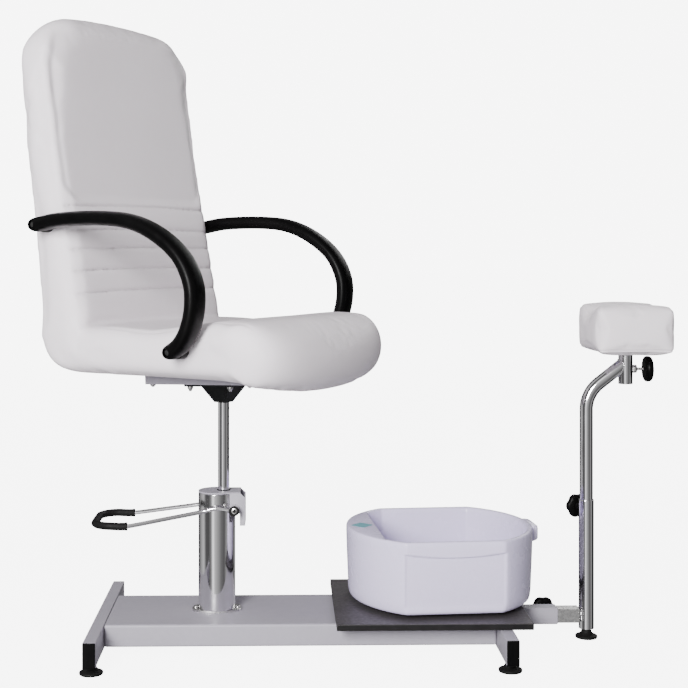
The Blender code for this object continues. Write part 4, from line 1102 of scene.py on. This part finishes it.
def build_bath():
    """The shell from rings up its outside, each (inset, height), and down its inside, right of the ledge."""
    ledge = -0.137
    outer = [(0.020, 0.0905), (0.0135, 0.0908), (0.0095, 0.0922), (0.0068, 0.0950), (0.0055, 0.0990),
             (0.0045, 0.1060)]
    outer += [(0.0040 - 0.0032 * i / 8, 0.110 + 0.080 * i / 8) for i in range(9)]
    outer += [(0.0008 - 0.0008 * i / 20, 0.1925 + 0.0300 * i / 20) for i in range(21)]
    outer += [(0.0, BATH_TOP - 0.0055), (0.0006, BATH_TOP - 0.0030), (0.0020, BATH_TOP - 0.0008),
              (0.0042, BATH_TOP)]
    inner = [(0.0085, BATH_TOP - 0.0002, 0.0), (0.0110, BATH_TOP - 0.0015, 0.001),
             (0.0128, BATH_TOP - 0.0045, 0.003), (0.0140, BATH_TOP - 0.0120, 0.004), (0.0155, 0.1700, 0.008),
             (0.0170, 0.1260, 0.011), (0.0200, 0.1140, 0.014), (0.0260, 0.1060, 0.020), (0.0350, 0.1020, 0.029),
             (0.0450, 0.1005, 0.039)]
    rings = [[Vector((0.0, 0.0, 0.0905))]]
    rings += [[shape_skirt(v) for v in bath_outline(*row)] for row in outer]
    rings += [bath_outline(inset, z, ledge + step) for inset, z, step in inner]
    rings.append([Vector((0.0, 0.0, 0.1003))])
    verts, faces = joined_rings(rings)
    shell = make_mesh("bath_shell_shape", verts, faces, TUB, crease=60.0)
    pocket = badge_prism("pocket", 0.0262, BATH_TOP - 0.0015, BATH_TOP + 0.01)
    carve(shell, pocket)
    dress(shell, "bath", "bath_shell")

    dress(badge_prism("rim_badge_shape", 0.0255, BATH_TOP - 0.0013, BATH_TOP + 0.0003), "bath", "rim_badge")
    build_bath_lip()
    build_bath_feet()
    build_massage_floor()


def shape_skirt(v):
    """Below an arched line, the flat front and rear facets lie a little deeper than the band above them."""
    flatness = smooth_step(abs(v.y), BATH_FLAT - 0.030, BATH_FLAT - 0.018)
    flatness *= 1.0 - smooth_step(abs(v.x), 0.098, 0.106)
    line = 0.2055 + 0.0080 * (v.x / 0.1) ** 2
    below = 1.0 - smooth_step(v.z, line - 0.0016, line + 0.0014)
    above_floor = smooth_step(v.z, 0.098, 0.110)
    return Vector((v.x, v.y - math.copysign(0.0042, v.y) * flatness * below * above_floor, v.z))


def badge_prism(name, half, low, high):
    """A rounded diamond let into the bath's ledge."""
    corners = [(half - 0.0015, 0.0), (0.0, half), (-half + 0.0015, 0.0), (0.0, -half)]
    diamond = rounded(corners, 0.003, 5, closed=True)
    rings = [[Vector((u - 0.165, v, z)) for u, v in diamond] for z in (low, high)]
    verts, faces = joined_rings(rings)
    return make_mesh(name, verts, faces, TUB)


def build_bath_lip():
    """The pouring lip at the bath's right end."""
    outline = rounded([(-0.040, 0.0), (-0.034, 0.0112), (0.034, 0.0112), (0.040, 0.0)], 0.010, 8)
    rows = [(0.2045, 0.55), (0.2062, 0.85), (0.2100, 1.0), (0.2300, 1.0), (0.2352, 0.93), (0.2372, 0.70)]
    start = BATH_HALF_LENGTH - 0.004
    root = BATH_HALF_LENGTH - 0.009
    rings = []
    for z, reach in rows:
        ring = [Vector((start + (0.0045 + u) * reach, v * (0.9 + 0.1 * reach), z)) for v, u in outline]
        rings.append(ring + [Vector((root, 0.036, z)), Vector((root, -0.036, z))])
    verts, faces = joined_rings(rings)
    dress(make_mesh("bath_lip", verts, faces, TUB, crease=50.0), "bath", slot="white_plastic")


def build_bath_feet():
    """The four dark feet between the bath and its shelf."""
    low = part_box("bath_shell")[0].z
    profile = [(0.0, low), (0.0100, low, 0.001), (0.0112, low + 0.0030, 0.001), (0.0105, 0.0915),
               (0.0, 0.0915)]
    for x, y in corner_places(0.105, 0.125):
        name = f"bath_foot_{'left' if x < 0 else 'right'}_{'near' if y < 0 else 'far'}"
        dress(turned(name, profile, TUB, (x, y, 0.0), sides=48), "bath", slot="black_rubber")


def build_massage_floor():
    """Rows of low massage nubs on the bath's floor."""
    nub = [(0.0, 0.1003), (0.0045, 0.1003), (0.0045, 0.1015, 0.001), (0.0025, 0.1035, 0.001), (0.0, 0.1037)]
    for row in range(5):
        for column in range(6):
            at = (-0.075 + column * 0.032, -0.080 + row * 0.040, 0.0)
            dress(turned(f"bath_nub_{row}_{column}", nub, TUB, at, sides=16), "bath", slot="white_plastic")


# ---------------------------------------------------------------- chair fasteners

def build_fasteners():
    """Acorn nuts under the mount and the seat frame."""
    for i, (x, y) in enumerate(corner_places(0.050, 0.050), start=1):
        acorn(f"mount_bolt_{i}", x, y, -0.0086, 0.0062, 0.0104, 0.0068)
    for i, (x, y) in enumerate(corner_places(0.120, 0.098, 0.010), start=1):
        acorn(f"seat_screw_{i}", x, y, -0.0003, 0.0060, 0.0059, 0.026)


def corner_places(half_x, half_y, centre_x=0.0):
    """The four corners of a rectangle."""
    return [(centre_x + sx * half_x, sy * half_y) for sx in (-1, 1) for sy in (-1, 1)]


def acorn(node, x, y, top, radius, height, stud_top):
    """A domed nut with its flange and the stud above it."""
    low = top - height
    profile = [(0.0, low), (radius * 0.42, low + height * 0.04, 0.001),
               (radius * 0.62, low + height * 0.34, 0.001), (radius * 0.80, low + height * 0.52, 0.0006),
               (radius * 0.98, low + height * 0.60, 0.0005),
               (radius * 0.98, top - 0.0009, 0.0003), (radius, top - 0.0008), (radius, top), (0.0028, top),
               (0.0028, stud_top), (0.0, stud_top)]
    dress(turned(node + "_shape", profile, PLATE, (x, y, 0.0), sides=48), "chair", node)


# ---------------------------------------------------------------- stage

def build_floor():
    """A pale floor that glows to the camera, so that no horizon shows. Reflections look through it."""
    verts = [(-14.0, -9.0, 0.0), (14.0, -9.0, 0.0), (14.0, 40.0, 0.0), (-14.0, 40.0, 0.0)]
    mesh = bpy.data.meshes.new("floor")
    mesh.from_pydata(verts, [], [(0, 1, 2, 3)])
    floor = bpy.data.objects.new("floor", mesh)
    bpy.context.scene.collection.objects.link(floor)
    s = Shading("floor_paint", (0.46, 0.46, 0.465), 0.9, Specular_IOR_Level=0.1)
    s.tint(s.spread(s.noise(1.2, 2.0), 0.4, 0.8, 0.0, 0.3), (0.44, 0.44, 0.445))
    s.roughen(s.spread(s.noise(7.0, 3.0), 0.3, 0.7, 0.85, 0.95))
    distance = s.add("ShaderNodeVectorMath", Vector=s.coords)
    distance.operation = "LENGTH"
    glow = s.spread(distance.outputs["Value"], 1.0, 7.0, BACKDROP - 0.8, BACKDROP - 0.25)
    rays = s.add("ShaderNodeLightPath").outputs
    s.put(s.shader.inputs["Emission Strength"], s.mixed_math("MULTIPLY", glow, rays["Is Camera Ray"]))
    s.shader.inputs["Emission Color"].default_value = (1.0, 1.0, 1.0, 1.0)
    clear = s.add("ShaderNodeBsdfTransparent").outputs[0]
    mix = node_with(s.tree, "ShaderNodeMixShader", rays["Is Glossy Ray"], s.shader.outputs[0], clear)
    s.put(s.tree.nodes["Material Output"].inputs["Surface"], mix.outputs[0])
    mesh.materials.append(s.mat)


def compass_ramp(tree, compass, shades):
    """Greys by compass direction: 0.5 is behind the camera, 0.25 to the left and 0.75 to the right."""
    ramp = tree.nodes.new("ShaderNodeValToRGB")
    elements = ramp.color_ramp.elements
    elements[0].position = shades[0][0]
    elements[1].position = shades[-1][0]
    for position, _ in shades[1:-1]:
        elements.new(position)
    for element, (_, shade) in zip(elements, shades):
        element.color = (shade, shade, shade, 1.0)
    tree.links.new(compass, ramp.inputs[0])
    return ramp.outputs[0]


def colour_mix(tree, factor, first, second):
    """One colour or the other by a factor."""
    mix = node_with(tree, "ShaderNodeMix", factor, data_type="RGBA")
    tree.links.new(first, mix.inputs[6])
    tree.links.new(second, mix.inputs[7])
    return mix.outputs[2]


def build_world():
    """White to the camera, a soft grey fill for surfaces, and strips and dark flags for reflections."""
    fill = ((0.00, 0.38), (0.25, 0.50), (0.45, 0.55), (0.60, 0.32), (0.75, 0.11), (0.90, 0.16), (1.00, 0.38))
    studio = ((0.00, 0.20), (0.10, 0.06), (0.17, 0.35), (0.25, 0.75), (0.30, 0.12), (0.36, 0.10), (0.41, 0.30),
              (0.44, 1.9), (0.47, 0.75), (0.52, 0.45), (0.58, 0.20), (0.64, 0.12), (0.69, 0.45), (0.745, 0.02),
              (0.82, 0.03), (0.90, 0.30), (1.00, 0.20))
    world = bpy.data.worlds.new("studio")
    world.use_nodes = True
    bpy.context.scene.world = world
    tree = world.node_tree
    direction = tree.nodes.new("ShaderNodeTexCoord").outputs["Generated"]
    split = node_with(tree, "ShaderNodeSeparateXYZ", direction)
    towards = node_with(tree, "ShaderNodeMath", split.outputs["Y"], -1.0, operation="MULTIPLY").outputs[0]
    angle = node_with(tree, "ShaderNodeMath", split.outputs["X"], towards, operation="ARCTAN2").outputs[0]
    compass = node_with(tree, "ShaderNodeMapRange", angle, -math.pi, math.pi).outputs[0]
    rays = tree.nodes.new("ShaderNodeLightPath").outputs
    soft = compass_ramp(tree, compass, fill)
    sharp = compass_ramp(tree, compass, studio)
    white = node_with(tree, "ShaderNodeCombineXYZ", BACKDROP, BACKDROP, BACKDROP).outputs[0]
    lit = colour_mix(tree, rays["Is Glossy Ray"], soft, sharp)
    seen = colour_mix(tree, rays["Is Camera Ray"], lit, white)
    tree.links.new(seen, tree.nodes["Background"].inputs["Color"])


def area_light(name, location, target, size, energy):
    """A rectangular soft light aimed at a point, in watts."""
    data = bpy.data.lights.new(name, "AREA")
    data.shape = "RECTANGLE"
    data.size, data.size_y = size
    data.energy = energy
    light = bpy.data.objects.new(name, data)
    light.location = location
    light.rotation_euler = (Vector(target) - Vector(location)).to_track_quat("-Z", "Y").to_euler()
    bpy.context.scene.collection.objects.link(light)


def build_lights():
    target = (0.0, 0.0, 0.5)
    area_light("key", (-1.35, -3.75, 1.75), target, (1.1, 1.6), 360)
    area_light("back_fill", (1.9, 3.2, 2.4), target, (2.4, 1.6), 42)


def build_camera():
    """Level, with the photo's framing brought in by a small shift."""
    data = bpy.data.cameras.new("camera")
    data.lens = 70.12
    data.shift_x = 0.0494
    data.shift_y = -0.141
    camera = bpy.data.objects.new("camera", data)
    camera.location = PUMP + Vector((0.1359, -2.8065, 0.827))
    camera.rotation_euler = (math.radians(90), 0.0, math.radians(-1.2))
    bpy.context.scene.collection.objects.link(camera)
    bpy.context.scene.camera = camera


# ---------------------------------------------------------------- whole object

def dress_cad_nodes():
    """Every CAD node that is still shown gets its finish."""
    for node, obj in frame["nodes"].items():
        obj.data.materials.clear()
        obj.data.materials.append(MATERIALS[SLOT_OF[node]])


build_floor()
build_world()
build_lights()
build_camera()
dress_cad_nodes()
build_base()
for foot in [n for n in frame["nodes"] if n.startswith("level_foot") or n == "post_foot"]:
    build_level_foot(foot)
build_pump()
build_lever()
build_leg_rest()
build_bath()
build_fasteners()
build_arm("arm_left", 1)
build_arm("arm_right", -1)
build_cover()
build_leg_cushion()
